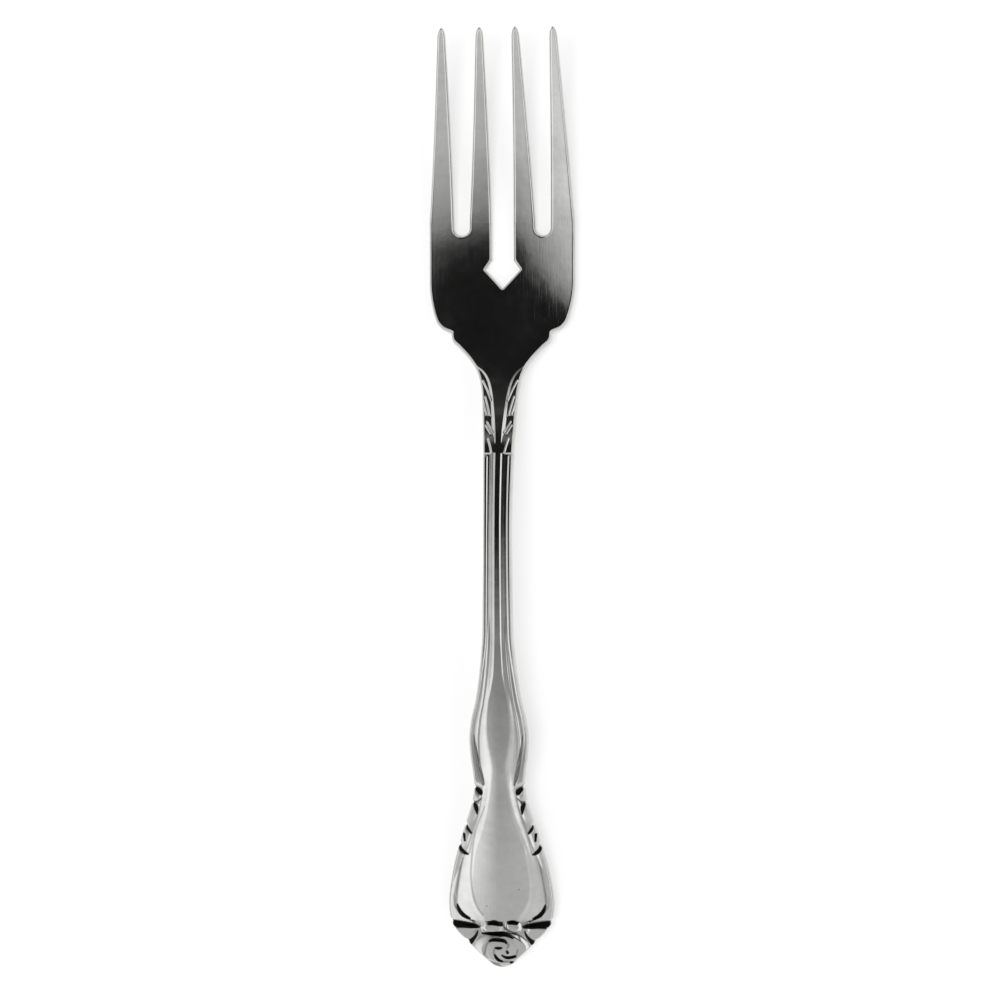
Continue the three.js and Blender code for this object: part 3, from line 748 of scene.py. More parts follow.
class Patchwork:
    """Grid patches of points, welded into one mesh of triangles.

    A patch has rows along the fork and columns across it, and faces up unless it is flipped."""

    def __init__(self):
        self.points = []
        self.masks = []
        self.triangles = []
        self.smooth = []
        self.count = 0

    def add(self, grid, flip=False, mask=None, smooth=True):
        """One patch: each cell of the grid becomes two triangles."""
        rows, columns = grid.shape[:2]
        index = self.count + np.arange(rows * columns).reshape(rows, columns)
        a, b = index[:-1, :-1].ravel(), index[:-1, 1:].ravel()
        c, d = index[1:, 1:].ravel(), index[1:, :-1].ravel()
        triangles = np.concatenate([np.stack([a, b, c], axis=1), np.stack([a, c, d], axis=1)])
        self.triangles.append(triangles[:, ::-1] if flip else triangles)
        self.points.append(grid.reshape(-1, 3))
        self.masks.append(np.zeros(rows * columns) if mask is None else mask.ravel())
        self.smooth.append(np.full(len(triangles), smooth))
        self.count += rows * columns

    def add_shell(self, face, back, mask=None, flip=False, caps=(True, True)):
        """A face and a back with the same edges, and flat caps across the first and last rows."""
        self.add(face, flip, mask)
        self.add(back, not flip)
        if caps[0]:
            self.add(np.stack([back[0], face[0]]), flip, smooth=False)
        if caps[1]:
            self.add(np.stack([back[-1], face[-1]]), not flip, smooth=False)

    def build(self, name):
        """The welded mesh object: points on the same weld step become one, and empty triangles go."""
        points = np.concatenate(self.points)
        keys = np.round(points / WELD_STEP).astype(np.int64)
        _, first, merged = np.unique(keys, axis=0, return_index=True, return_inverse=True)
        triangles = merged.reshape(-1)[np.concatenate(self.triangles)]
        a, b, c = triangles.T
        whole = (a != b) & (b != c) & (c != a)
        triangles = triangles[whole]
        smooth = np.concatenate(self.smooth)[whole]
        mesh = bpy.data.meshes.new(name)
        mesh.vertices.add(len(first))
        mesh.vertices.foreach_set("co", points[first].astype(np.float32).ravel())
        mesh.loops.add(triangles.size)
        mesh.loops.foreach_set("vertex_index", triangles.astype(np.int32).ravel())
        mesh.polygons.add(len(triangles))
        mesh.polygons.foreach_set("loop_start", np.arange(0, triangles.size, 3, dtype=np.int32))
        mesh.polygons.foreach_set("use_smooth", smooth)
        # The recess attribute holds the painted shade and patina of the recesses and cuts
        recess = mesh.attributes.new("recess", "FLOAT", "POINT")
        recess.data.foreach_set("value", np.concatenate(self.masks)[first].astype(np.float32))
        mesh.update(calc_edges=True)
        capped = np.zeros(len(first), bool)
        capped[triangles[~smooth]] = True
        ends = np.empty(2 * len(mesh.edges), np.int32)
        mesh.edges.foreach_get("vertices", ends)
        mesh.edges.foreach_set("use_edge_sharp", capped[ends.reshape(-1, 2)].all(axis=1))
        mesh.validate()
        thing = bpy.data.objects.new(name, mesh)
        bpy.context.scene.collection.objects.link(thing)
        return thing


def finish_piece(patches, node, material):
    """Builds one piece, gives it its steel, and puts it in the place of its CAD node."""
    piece = patches.build(node + "_steel")
    piece.data.materials.append(material)
    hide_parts(node)
    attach(piece, BODY)


def edge_columns(count):
    """Shares from 0 to 1 that crowd together towards both edges."""
    return 0.5 - 0.5 * np.cos(np.linspace(0.0, np.pi, count))


def zone_shell(stations, columns, sizes):
    """Face, back and recess mask of a zone across the whole width of the handle; the mask is painted shade
    and patina.

    Half-width w(s) times a share gives x. The face lies at round * (thickness / 2 + relief), the back at
    -round * thickness / 2, and round falls to 0 on the outline, so both meet there."""
    s, share = np.meshgrid(stations, 2.0 * edge_columns(columns) - 1.0, indexing="ij")
    half = half_width(s)
    x = share * half
    inset = np.minimum((half - np.abs(x)) / np.hypot(1.0, outline_slant(s)), s)
    rounding = edge_round(inset, np.minimum(sizes.edge_round / MM, np.maximum(half, CLOSING)))
    ornament, stain_and_shade = relief(s, x, sizes)
    face, back = face_and_back(s, x, rounding, ornament)
    row_step = stations[-1] - stations[-2]
    column_step = np.pi * max(outline(stations).min(), STEM_WIDTH / 2.0) / columns
    # Painted shade and patina: the cuts' darkening and the recesses' darkening, faded near the outline
    recess = recess_mask(ornament, row_step, column_step) * ramp(inset / RECESS_INSET)
    return face, back, np.maximum(stain_and_shade * ramp(inset / STAIN_AND_SHADE_INSET), RECESS_TARNISH_AND_SHADE * recess)


def build_zone(context, node, stations, columns, caps=(True, True)):
    """One zone of the handle or neck as a closed piece."""
    face, back, mask = zone_shell(stations, columns, context.scene.fork_sizes)
    patches = Patchwork()
    patches.add_shell(face, back, mask, caps=caps)
    finish_piece(patches, node, coined_steel(context.scene.fork_finish))


# Edges of the slots and tines on one side of the centre line
SLOT_EDGE = CENTRE_SLOT_WIDTH / 2.0
SIDE_SLOT_EDGES = (SLOT_EDGE + INNER_TINE_WIDTH, SLOT_EDGE + INNER_TINE_WIDTH + SIDE_SLOT_WIDTH)
SIDE_SLOT_RADIUS = SIDE_SLOT_WIDTH / 2.0
SIDE_SLOT_MIDDLE = SIDE_SLOT_EDGES[0] + SIDE_SLOT_RADIUS
AT_SIDE_SLOT = AT_ROOT - SIDE_SLOT_DEPTH + SIDE_SLOT_RADIUS
AT_DIAMOND = AT_ROOT - CENTRE_SLOT_DEPTH
AT_DIAMOND_CORNER = AT_DIAMOND + DIAMOND_POINT_LENGTH
AT_DIAMOND_END = AT_DIAMOND + DIAMOND_LENGTH

# Grids of the head: rows between the palm's marks, columns of its strips, and a tine's rows and columns
PALM_STEPS = (44, 20, 12, 30, 6)
PALM_COLUMNS = (30, 20, 30)
TINE_ROWS = 100
TINE_COLUMNS = 24


def centre_edge(s):
    """Half-width of the centre slot: a diamond that opens from its point and closes to the slot."""
    return np.interp(
        s,
        (AT_DIAMOND, AT_DIAMOND_CORNER, AT_DIAMOND_END),
        (0.0, DIAMOND_WIDTH / 2.0, SLOT_EDGE),
    )


def palm_inset(s, u):
    """Distance from points of the palm to its nearest edge: outline, diamond or round slot end."""
    outer = (half_width(s) - u) / np.hypot(1.0, outline_slant(s))
    corners = (
        (0.0, AT_DIAMOND),
        (DIAMOND_WIDTH / 2.0, AT_DIAMOND_CORNER),
        (SLOT_EDGE, AT_DIAMOND_END),
        (SLOT_EDGE, AT_TIP),
    )
    centre = np.minimum.reduce([
        nearest_on_line(u, s, start, end)[1] for start, end in zip(corners[:-1], corners[1:])
    ])
    below = np.minimum(s - AT_SIDE_SLOT, 0.0)
    side = np.hypot(u - SIDE_SLOT_MIDDLE, below) - SIDE_SLOT_RADIUS
    return np.maximum(np.minimum.reduce([outer, centre, side]), 0.0)


def palm_rows():
    """Stations of the palm's rows, with rows on the diamond's corners and the middle of the side slots."""
    marks = (AT_SHOULDER, AT_DIAMOND, AT_DIAMOND_CORNER, AT_DIAMOND_END, AT_SIDE_SLOT, AT_ROOT)
    runs = [np.linspace(a, b, n, endpoint=False) for a, b, n in zip(marks[:-1], marks[1:], PALM_STEPS)]
    return np.concatenate(runs + [np.array([AT_ROOT])])


def build_palm(context):
    """The palm: three strips on each side of the centre line, between the slots' edges and the outline.

    Below a slot its edge lines run on as shares of the half-width; the middle strip bends to the slot's
    round end."""
    sizes = context.scene.fork_sizes
    rows = palm_rows()
    share = half_width(rows) / (HEAD_WIDTH / 2.0)
    lines = (centre_edge(rows), SIDE_SLOT_EDGES[0] * share, SIDE_SLOT_EDGES[1] * share, half_width(rows))
    patches = Patchwork()
    for strip, count in enumerate(PALM_COLUMNS):
        columns = edge_columns(count)
        u = mix(lines[strip][:, None], lines[strip + 1][:, None], columns)
        s = np.broadcast_to(rows[:, None], u.shape).copy()
        open_end = strip == 1
        if open_end:
            kept = rows <= AT_SIDE_SLOT + CLOSING
            u, s = u[kept], s[kept]
            end = np.sqrt(np.clip(SIDE_SLOT_RADIUS**2 - (u[-1] - SIDE_SLOT_MIDDLE) ** 2, 0.0, None))
            pull = np.clip((s - AT_DIAMOND_END) / (AT_SIDE_SLOT - AT_DIAMOND_END), 0.0, 1.0)
            s = s - pull * end
        rounding = edge_round(palm_inset(s, u), sizes.edge_round / MM)
        ornament, _ = relief(s, u, sizes)
        for side in (-1.0, 1.0):
            face, back = face_and_back(s, side * u, rounding, ornament)
            patches.add_shell(face, back, flip=side < 0, caps=(True, not open_end))
    finish_piece(patches, "palm", bowl_steel(context.scene.fork_finish))


def build_tine(context, node, root, tip, side):
    """One tine: its edges run straight from the root to the tip and close in a rounded point."""
    sizes = context.scene.fork_sizes
    along = np.sin(np.linspace(0.0, np.pi / 2.0, TINE_ROWS))[:, None]
    rows = mix(AT_ROOT, AT_TIP, along)
    middle = mix(sum(root) / 2.0, sum(tip) / 2.0, along)
    taper = mix((root[1] - root[0]) / 2.0, (tip[1] - tip[0]) / 2.0, along)
    half = taper * edge_round(AT_TIP - rows + CLOSING, TINE_POINT_LENGTH)
    share = 2.0 * edge_columns(TINE_COLUMNS) - 1.0
    u = middle + half * share
    s = np.broadcast_to(rows, u.shape)
    inset = np.minimum(half * (1.0 - np.abs(share)), AT_TIP - s)
    rounding = edge_round(inset, np.minimum(sizes.edge_round / MM, np.maximum(half, CLOSING)))
    patches = Patchwork()
    face, back = face_and_back(s, side * u, rounding)
    patches.add_shell(face, back, flip=side < 0, caps=(True, False))
    finish_piece(patches, node, bowl_steel(context.scene.fork_finish))


def node_tree_of(thing):
    """An emptied node tree of a material or world, ready for nodes."""
    thing.use_nodes = True
    thing.node_tree.nodes.clear()
    return thing.node_tree


def math_node(tree, operation, first, second=None, third=None, clamp=False):
    """A Math node with each input linked if it is a socket and set if it is a number."""
    node = tree.nodes.new("ShaderNodeMath")
    node.operation = operation
    node.use_clamp = clamp
    for socket, value in zip(node.inputs, (first, second, third)):
        if isinstance(value, bpy.types.NodeSocket):
            tree.links.new(value, socket)
        elif value is not None:
            socket.default_value = value
    return node.outputs[0]


def surface_group(name, output, draw):
    """A shader node group from a vector to one value, which draw(group, vector) gives; it is built once."""
    if name in bpy.data.node_groups:
        return bpy.data.node_groups[name]
    group = bpy.data.node_groups.new(name, "ShaderNodeTree")
    group.interface.new_socket("Vector", in_out="INPUT", socket_type="NodeSocketVector")
    group.interface.new_socket(output, in_out="OUTPUT", socket_type="NodeSocketFloat")
    vector = group.nodes.new("NodeGroupInput").outputs["Vector"]
    end = group.nodes.new("NodeGroupOutput")
    group.links.new(draw(group, vector), end.inputs[output])
    return group


def place_group(tree, vector, name, output, draw):
    """The value of a surface group that is fed with a vector socket."""
    node = tree.nodes.new("ShaderNodeGroup")
    node.node_tree = surface_group(name, output, draw)
    tree.links.new(vector, node.inputs["Vector"])
    return node.outputs[output]


def spread(tree, value, floor, contrast):
    """A node value less a floor, times a contrast, kept between 0 and 1."""
    return math_node(tree, "MULTIPLY", math_node(tree, "SUBTRACT", value, floor), contrast, clamp=True)


def noise(tree, vector, scale, detail):
    """A noise texture over a vector socket."""
    node = tree.nodes.new("ShaderNodeTexNoise")
    node.inputs["Scale"].default_value = scale
    node.inputs["Detail"].default_value = detail
    tree.links.new(vector, node.inputs["Vector"])
    return node.outputs["Fac"]


def stretched(tree, vector, scale, turn):
    """The vector turned about z and scaled, so that a noise over it draws lines."""
    node = tree.nodes.new("ShaderNodeMapping")
    node.inputs["Scale"].default_value = scale
    node.inputs["Rotation"].default_value = (0.0, 0.0, np.radians(turn))
    tree.links.new(vector, node.inputs["Vector"])
    return node.outputs["Vector"]


# Handling haze: scale and detail of its broad and fine clouds, the fine ones' share, and how it is spread
HAZE_BROAD = (90.0, 4.0)
HAZE_FINE = (700.0, 3.0)
HAZE_FINE_SHARE = 0.3
HAZE_FLOOR = 0.42
HAZE_CONTRAST = 4.0

# Hairlines: the noise is drawn out along the fork and turned by each of these angles
HAIRLINE_STRETCH = (6000.0, 150.0, 150.0)
HAIRLINE_TURNS = (3.0, -14.0, 38.0)
HAIRLINE_NOISE = (1.0, 1.0)
HAIRLINE_FLOOR = 0.62
HAIRLINE_CONTRAST = 5.0

# Polish waves: scale and detail of the broad and the small ones, and the small ones' share
WAVES_BROAD = (220.0, 1.0)
WAVES_SMALL = (650.0, 2.0)
WAVES_SMALL_SHARE = 0.3

# Pits: the scale of their points, their radius at that scale, how sharp their edge is and how dark they are
PIT_SCALE = 240.0
PIT_RADIUS = 0.045
PIT_EDGE = 40.0
PIT_DARKNESS = 0.5

# Roughness that dark recesses add, and the heights of waves and scratches in metres
RECESS_ROUGHNESS = 0.1
WAVE_HEIGHT = 0.00004
SCRATCH_HEIGHT = 0.00002


def handling_haze(group, vector):
    """Cloudy patches where fingers and cloths have dulled the polish: two noises, spread from 0 to 1."""
    broad = math_node(group, "MULTIPLY", noise(group, vector, *HAZE_BROAD), 1.0 - HAZE_FINE_SHARE)
    fine = math_node(group, "MULTIPLY", noise(group, vector, *HAZE_FINE), HAZE_FINE_SHARE)
    return spread(group, math_node(group, "ADD", broad, fine), HAZE_FLOOR, HAZE_CONTRAST)


def hairlines(group, vector):
    """The height of fine use scratches, most of them along the fork: a sum of stretched noises."""
    total = None
    for turn in HAIRLINE_TURNS:
        lines = noise(group, stretched(group, vector, HAIRLINE_STRETCH, turn), *HAIRLINE_NOISE)
        cut = spread(group, lines, HAIRLINE_FLOOR, HAIRLINE_CONTRAST)
        total = cut if total is None else math_node(group, "ADD", total, cut)
    return total


def polish_waves(group, vector):
    """The height of the soft unevenness that a polishing wheel leaves: a broad and a small noise."""
    broad = noise(group, vector, *WAVES_BROAD)
    small = noise(group, vector, *WAVES_SMALL)
    return math_node(group, "MULTIPLY_ADD", small, WAVES_SMALL_SHARE, broad)


def pits(group, vector):
    """A few tiny dark pits, each a small ball round a scattered point."""
    points = group.nodes.new("ShaderNodeTexVoronoi")
    points.inputs["Scale"].default_value = PIT_SCALE
    group.links.new(vector, points.inputs["Vector"])
    near = math_node(group, "SUBTRACT", PIT_RADIUS, points.outputs["Distance"])
    return math_node(group, "MULTIPLY", near, PIT_EDGE, clamp=True)


def bumped(tree, height, strength, distance, under=None):
    """A normal bent by a height, on top of another normal if one is given."""
    node = tree.nodes.new("ShaderNodeBump")
    node.inputs["Strength"].default_value = strength
    node.inputs["Distance"].default_value = distance
    tree.links.new(height, node.inputs["Height"])
    if under is not None:
        tree.links.new(under, node.inputs["Normal"])
    return node.outputs["Normal"]


def steel_material(name, finish, tarnish_and_shade):
    """Polished steel: mirror bright, hazed by handling, finely scratched, and darkened by painted shade and
    patina in its recesses.
    """
    if name in bpy.data.materials:
        return bpy.data.materials[name]
    material = bpy.data.materials.new(name)
    tree = node_tree_of(material)
    output = tree.nodes.new("ShaderNodeOutputMaterial")
    shader = tree.nodes.new("ShaderNodeBsdfPrincipled")
    shader.inputs["Metallic"].default_value = 1.0
    tree.links.new(shader.outputs["BSDF"], output.inputs["Surface"])
    place_on = tree.nodes.new("ShaderNodeTexCoord").outputs["Object"]
    haze = place_group(tree, place_on, "Handling Haze", "Haze", handling_haze)
    scratches = place_group(tree, place_on, "Hairlines", "Height", hairlines)
    waves = place_group(tree, place_on, "Polish Waves", "Height", polish_waves)
    pit = place_group(tree, place_on, "Pits", "Pit", pits)
    # The recess attribute darkens the colour: painted shade, with patina, in recesses and cuts
    recess = tree.nodes.new("ShaderNodeAttribute")
    recess.attribute_name = "recess"
    stained_and_shaded = math_node(tree, "MULTIPLY", recess.outputs["Fac"], tarnish_and_shade)
    depth = math_node(tree, "MAXIMUM", stained_and_shaded, math_node(tree, "MULTIPLY", pit, PIT_DARKNESS))
    colour = tree.nodes.new("ShaderNodeMix")
    colour.data_type = "RGBA"
    worn = tree.nodes.new("ShaderNodeMix")
    worn.data_type = "RGBA"
    worn.inputs["A"].default_value = (*finish.steel_colour, 1.0)
    worn.inputs["B"].default_value = (*finish.worn_colour, 1.0)
    tree.links.new(haze, worn.inputs["Factor"])
    tree.links.new(worn.outputs["Result"], colour.inputs["A"])
    colour.inputs["B"].default_value = (*finish.tarnish_and_shade_colour, 1.0)
    tree.links.new(depth, colour.inputs["Factor"])
    tree.links.new(colour.outputs["Result"], shader.inputs["Base Color"])
    hazed = math_node(tree, "ADD", math_node(tree, "MULTIPLY", haze, finish.haze), finish.polish)
    rough = math_node(tree, "ADD", hazed, math_node(tree, "MULTIPLY", depth, RECESS_ROUGHNESS))
    tree.links.new(rough, shader.inputs["Roughness"])
    wavy = bumped(tree, waves, finish.waves, WAVE_HEIGHT)
    scratched = bumped(tree, scratches, finish.scratches, SCRATCH_HEIGHT, wavy)
    tree.links.new(scratched, shader.inputs["Normal"])
    return material


def coined_steel(finish):
    """The steel of the coined handle and neck, darkened by painted shade and patina in the recesses of the
    ornament.
    """
    return steel_material("coined_steel", finish, finish.tarnish_and_shade)


def bowl_steel(finish):
    """The plain polished steel of the head."""
    return steel_material("bowl_steel", finish, 0.0)


class ForkSizes(bpy.types.PropertyGroup):
    """Heights of the ornament and the rounding of the edges."""

    panel_rise: bpy.props.FloatProperty(
        name="Panel rise", description="Height of the raised panel",
        default=0.22 * MM, unit="LENGTH", precision=6)
    leaf_rise: bpy.props.FloatProperty(
        name="Leaf rise", description="Height of the side leaves",
        default=0.14 * MM, unit="LENGTH", precision=6)
    rim_rise: bpy.props.FloatProperty(
        name="Rim rise", description="Height of the rim",
        default=0.09 * MM, unit="LENGTH", precision=6)
    thread_rise: bpy.props.FloatProperty(
        name="Thread rise", description="Height of the thread",
        default=0.07 * MM, unit="LENGTH", precision=6)
    rose_rise: bpy.props.FloatProperty(
        name="Rose rise", description="Height of the rose",
        default=0.6 * MM, unit="LENGTH", precision=6)
    vein_rise: bpy.props.FloatProperty(
        name="Vein rise", description="Height of the neck's leaf veins",
        default=0.09 * MM, unit="LENGTH", precision=6)
    cut_rise: bpy.props.FloatProperty(
        name="Cut depth", description="Depth of the ornament's cuts",
        default=0.22 * MM, unit="LENGTH", precision=6)
    edge_round: bpy.props.FloatProperty(
        name="Edge round", description="Width of the rounding on all edges",
        default=0.4 * MM, unit="LENGTH", precision=6)


class ForkFinish(bpy.types.PropertyGroup):
    """Colours and polish of the steel."""

    steel_colour: bpy.props.FloatVectorProperty(
        name="Steel", description="Colour of the polished steel",
        default=(0.62, 0.62, 0.61), subtype="COLOR", size=3, min=0.0, max=1.0)
    worn_colour: bpy.props.FloatVectorProperty(
        name="Worn", description="Colour where handling has dulled the steel",
        default=(0.53, 0.53, 0.52), subtype="COLOR", size=3, min=0.0, max=1.0)
    # Dark colour of the painted shade and patina in the recesses and cuts
    tarnish_and_shade_colour: bpy.props.FloatVectorProperty(
        name="Tarnish", description="Colour in the deep recesses",
        default=(0.012, 0.012, 0.012), subtype="COLOR", size=3, min=0.0, max=1.0)
    # How strong the painted shade and patina in the recesses and cuts are
    tarnish_and_shade: bpy.props.FloatProperty(
        name="Tarnish share", description="How dark the recesses are",
        default=1.0, min=0.0, max=1.0, subtype="FACTOR")
    polish: bpy.props.FloatProperty(
        name="Roughness", description="Roughness of the clean polish",
        default=0.1, min=0.0, max=1.0, subtype="FACTOR")
    haze: bpy.props.FloatProperty(
        name="Haze", description="Roughness added by handling",
        default=0.08, min=0.0, max=1.0, subtype="FACTOR")
    waves: bpy.props.FloatProperty(
        name="Waves", description="Strength of the polish waves",
        default=0.8, min=0.0, max=1.0, subtype="FACTOR")
    scratches: bpy.props.FloatProperty(
        name="Scratches", description="Strength of the fine scratches",
        default=0.12, min=0.0, max=1.0, subtype="FACTOR")


class ForkStage(bpy.types.PropertyGroup):
    """The floor, the light and the camera."""

    floor_colour: bpy.props.FloatVectorProperty(
        name="Floor", description="Colour of the floor",
        default=(0.9, 0.9, 0.9), subtype="COLOR", size=3, min=0.0, max=1.0)
    floor_white: bpy.props.FloatProperty(
        name="Floor white", description="Share of plain white in the floor as it is seen",
        default=0.55, min=0.0, max=1.0, subtype="FACTOR")
    floor_radius: bpy.props.FloatProperty(
        name="Floor radius", description="Radius of the floor", default=8.0, unit="LENGTH")
    lens: bpy.props.FloatProperty(
        name="Lens", description="Focal length of the camera in millimetres",
        default=130.0, unit="CAMERA")
    fill: bpy.props.FloatProperty(
        name="Fill", description="Share of the picture's height that the fork takes",
        default=0.94, subtype="FACTOR")
    lean: bpy.props.FloatProperty(
        name="Lean", description="Angle of the camera from straight above, to the right",
        default=np.radians(6.0), subtype="ANGLE")
    sky: bpy.props.FloatProperty(
        name="Sky", description="Brightness of the white part of the surroundings", default=1.4)
    horizon: bpy.props.FloatProperty(
        name="Horizon", description="Brightness of the surroundings near the horizon", default=0.42)


# Grids of the handle's zones: millimetres between rows, and columns; and rows that close the handle's end
ROSE_END_GRID = (0.085, 171)
BLADE_GRID = (0.13, 161)
HIP_GRID = (0.22, 121)
STEM_GRID = (0.35, 101)
NECK_GRID = (0.13, 121)
CLOSING_ROWS = 16


def handle_rows(start, end, spacing):
    """Even stations from start to end, about a spacing apart."""
    return np.linspace(start, end, int(round((end - start) / spacing)) + 1)


class FORK_OT_rose_end(bpy.types.Operator):
    """Builds the pointed end of the handle with its rose, leaves and petals"""

    bl_idname = "fork.rose_end"
    bl_label = "Rose End"

    def execute(self, context):
        spacing, columns = ROSE_END_GRID
        close = END_ROUND * (1.0 - np.cos(np.linspace(0.0, np.pi / 2.0, CLOSING_ROWS)))
        rows = np.concatenate([close[:-1], handle_rows(END_ROUND, AT_ROSE, spacing)])
        build_zone(context, "rose_end", rows, columns, caps=(False, True))
        return {"FINISHED"}


class FORK_OT_blade(bpy.types.Operator):
    """Builds the shield-shaped blade of the handle with its panel, side leaves and rim"""

    bl_idname = "fork.blade"
    bl_label = "Handle Blade"

    def execute(self, context):
        spacing, columns = BLADE_GRID
        build_zone(context, "handle_blade", handle_rows(AT_ROSE, AT_WAIST, spacing), columns)
        return {"FINISHED"}


class FORK_OT_hip(bpy.types.Operator):
    """Builds the hip of the handle above the waist"""

    bl_idname = "fork.hip"
    bl_label = "Handle Hip"

    def execute(self, context):
        spacing, columns = HIP_GRID
        build_zone(context, "handle_hip", handle_rows(AT_WAIST, AT_STEM, spacing), columns)
        return {"FINISHED"}


class FORK_OT_stem(bpy.types.Operator):
    """Builds the slim threaded stem"""

    bl_idname = "fork.stem"
    bl_label = "Stem"

    def execute(self, context):
        spacing, columns = STEM_GRID
        build_zone(context, "stem", handle_rows(AT_STEM, AT_COLLAR, spacing), columns)
        return {"FINISHED"}


class FORK_OT_neck(bpy.types.Operator):
    """Builds the neck, where leaves open from the stem to the head"""

    bl_idname = "fork.neck"
    bl_label = "Neck"

    def execute(self, context):
        spacing, columns = NECK_GRID
        build_zone(context, "neck", handle_rows(AT_COLLAR, AT_SHOULDER, spacing), columns)
        return {"FINISHED"}


class FORK_OT_palm(bpy.types.Operator):
    """Builds the palm of the head, with the ends of its three slots"""

    bl_idname = "fork.palm"
    bl_label = "Palm"

    def execute(self, context):
        build_palm(context)
        return {"FINISHED"}


class FORK_OT_tines(bpy.types.Operator):
    """Builds the four tines"""

    bl_idname = "fork.tines"
    bl_label = "Tines"

    def execute(self, context):
        inner_root = (SLOT_EDGE, SIDE_SLOT_EDGES[0])
        inner_tip = (CENTRE_GAP_AT_TIPS / 2.0, CENTRE_GAP_AT_TIPS / 2.0 + TINE_TIP_WIDTH)
        outer_root = (SIDE_SLOT_EDGES[1], HEAD_WIDTH / 2.0)
        outer_tip = (TIP_SPAN / 2.0 - TINE_TIP_WIDTH, TIP_SPAN / 2.0)
        for word, side in (("left", -1.0), ("right", 1.0)):
            build_tine(context, "tine_inner_" + word, inner_root, inner_tip, side)
            build_tine(context, "tine_outer_" + word, outer_root, outer_tip, side)
        return {"FINISHED"}


FLOOR_ROUGHNESS = 0.7
FLOOR_SPECULAR = 0.2
FLOOR_CORNERS = 96


def floor_material(stage):
    """A matt pale floor that looks white from the camera and in the steel, with a faint shadow left."""
    material = bpy.data.materials.new("pale_floor")
    tree = node_tree_of(material)
    output = tree.nodes.new("ShaderNodeOutputMaterial")
    shader = tree.nodes.new("ShaderNodeBsdfPrincipled")
    shader.inputs["Base Color"].default_value = (*stage.floor_colour, 1.0)
    shader.inputs["Roughness"].default_value = FLOOR_ROUGHNESS
    shader.inputs["Specular IOR Level"].default_value = FLOOR_SPECULAR
    white = tree.nodes.new("ShaderNodeEmission")
    path = tree.nodes.new("ShaderNodeLightPath").outputs
    mirrored = math_node(tree, "MAXIMUM", path["Is Glossy Ray"], path["Is Transmission Ray"])
    seen = math_node(tree, "MAXIMUM", path["Is Camera Ray"], mirrored)
    blend = tree.nodes.new("ShaderNodeMixShader")
    tree.links.new(math_node(tree, "MULTIPLY", seen, stage.floor_white), blend.inputs["Fac"])
    tree.links.new(shader.outputs["BSDF"], blend.inputs[1])
    tree.links.new(white.outputs["Emission"], blend.inputs[2])
    tree.links.new(blend.outputs["Shader"], output.inputs["Surface"])
    return material


def build_floor(stage):
    """A wide round floor on the table plane."""
    mesh = bpy.data.meshes.new("floor")
    turns = np.linspace(0.0, 2.0 * np.pi, FLOOR_CORNERS, endpoint=False)
    rim = np.stack([np.cos(turns), np.sin(turns), np.zeros_like(turns)], axis=1) * stage.floor_radius
    mesh.from_pydata(rim.tolist(), [], [tuple(range(len(turns)))])
    floor = bpy.data.objects.new("floor", mesh)
    mesh.materials.append(floor_material(stage))
    bpy.context.scene.collection.objects.link(floor)


def soft_rise(tree, value, softness):
    """A node value that rises on both sides of 0 without a kink: the root of v * v + k * k, less k."""
    square = math_node(tree, "MULTIPLY_ADD", value, value, softness * softness)
    return math_node(tree, "SUBTRACT", math_node(tree, "SQRT", square), softness)


def smooth_step(tree, value, low, high):
    """A node value that goes smoothly from 0 at low to 1 at high."""
    node = tree.nodes.new("ShaderNodeMapRange")
    node.interpolation_type = "SMOOTHSTEP"
    node.inputs["From Min"].default_value = low
    node.inputs["From Max"].default_value = high
    tree.links.new(value, node.inputs["Value"])
    return node.outputs["Result"]


# Brightness of the surroundings by direction: how fast it rises to the left and to the right, how softly it
# starts, and the level at which the right side stays
LEFT_GAIN = 2.0
LEFT_SOFTNESS = 0.05
RIGHT_GAIN = 0.7
RIGHT_SOFTNESS = 0.2
RIGHT_LEVEL = 0.26
RIGHT_LEVEL_SOFTNESS = 0.12

# The far right is white, and starts nearer towards the tines; the far left is dimmed
FAR_RIGHT_STEP = (0.56, 0.76)
FAR_RIGHT_GAIN = 1.3
FAR_RIGHT_TURN = 0.3
FAR_LEFT_STEP = (0.45, 0.75)
FAR_LEFT_GAIN = -0.8

# The shade towards the tines fades sideways at this rate
SHADE_FADE = 2.4

# From brightness to white: the dark that is left, the brightness of full white, a soft toe, a gain, and how
# softly the brightness of the sky caps it
DARK = 0.01
FULL_WHITE = 0.8
TOE = 0.3
WHITE_GAIN = 1.08
SKY_SOFTNESS = 0.2

# Where the horizon ends, by height, and where the grey of the horizon is added far towards the tines
UP_STEP = (0.25, 0.6)
BEYOND_STEP = (0.58, 0.8)


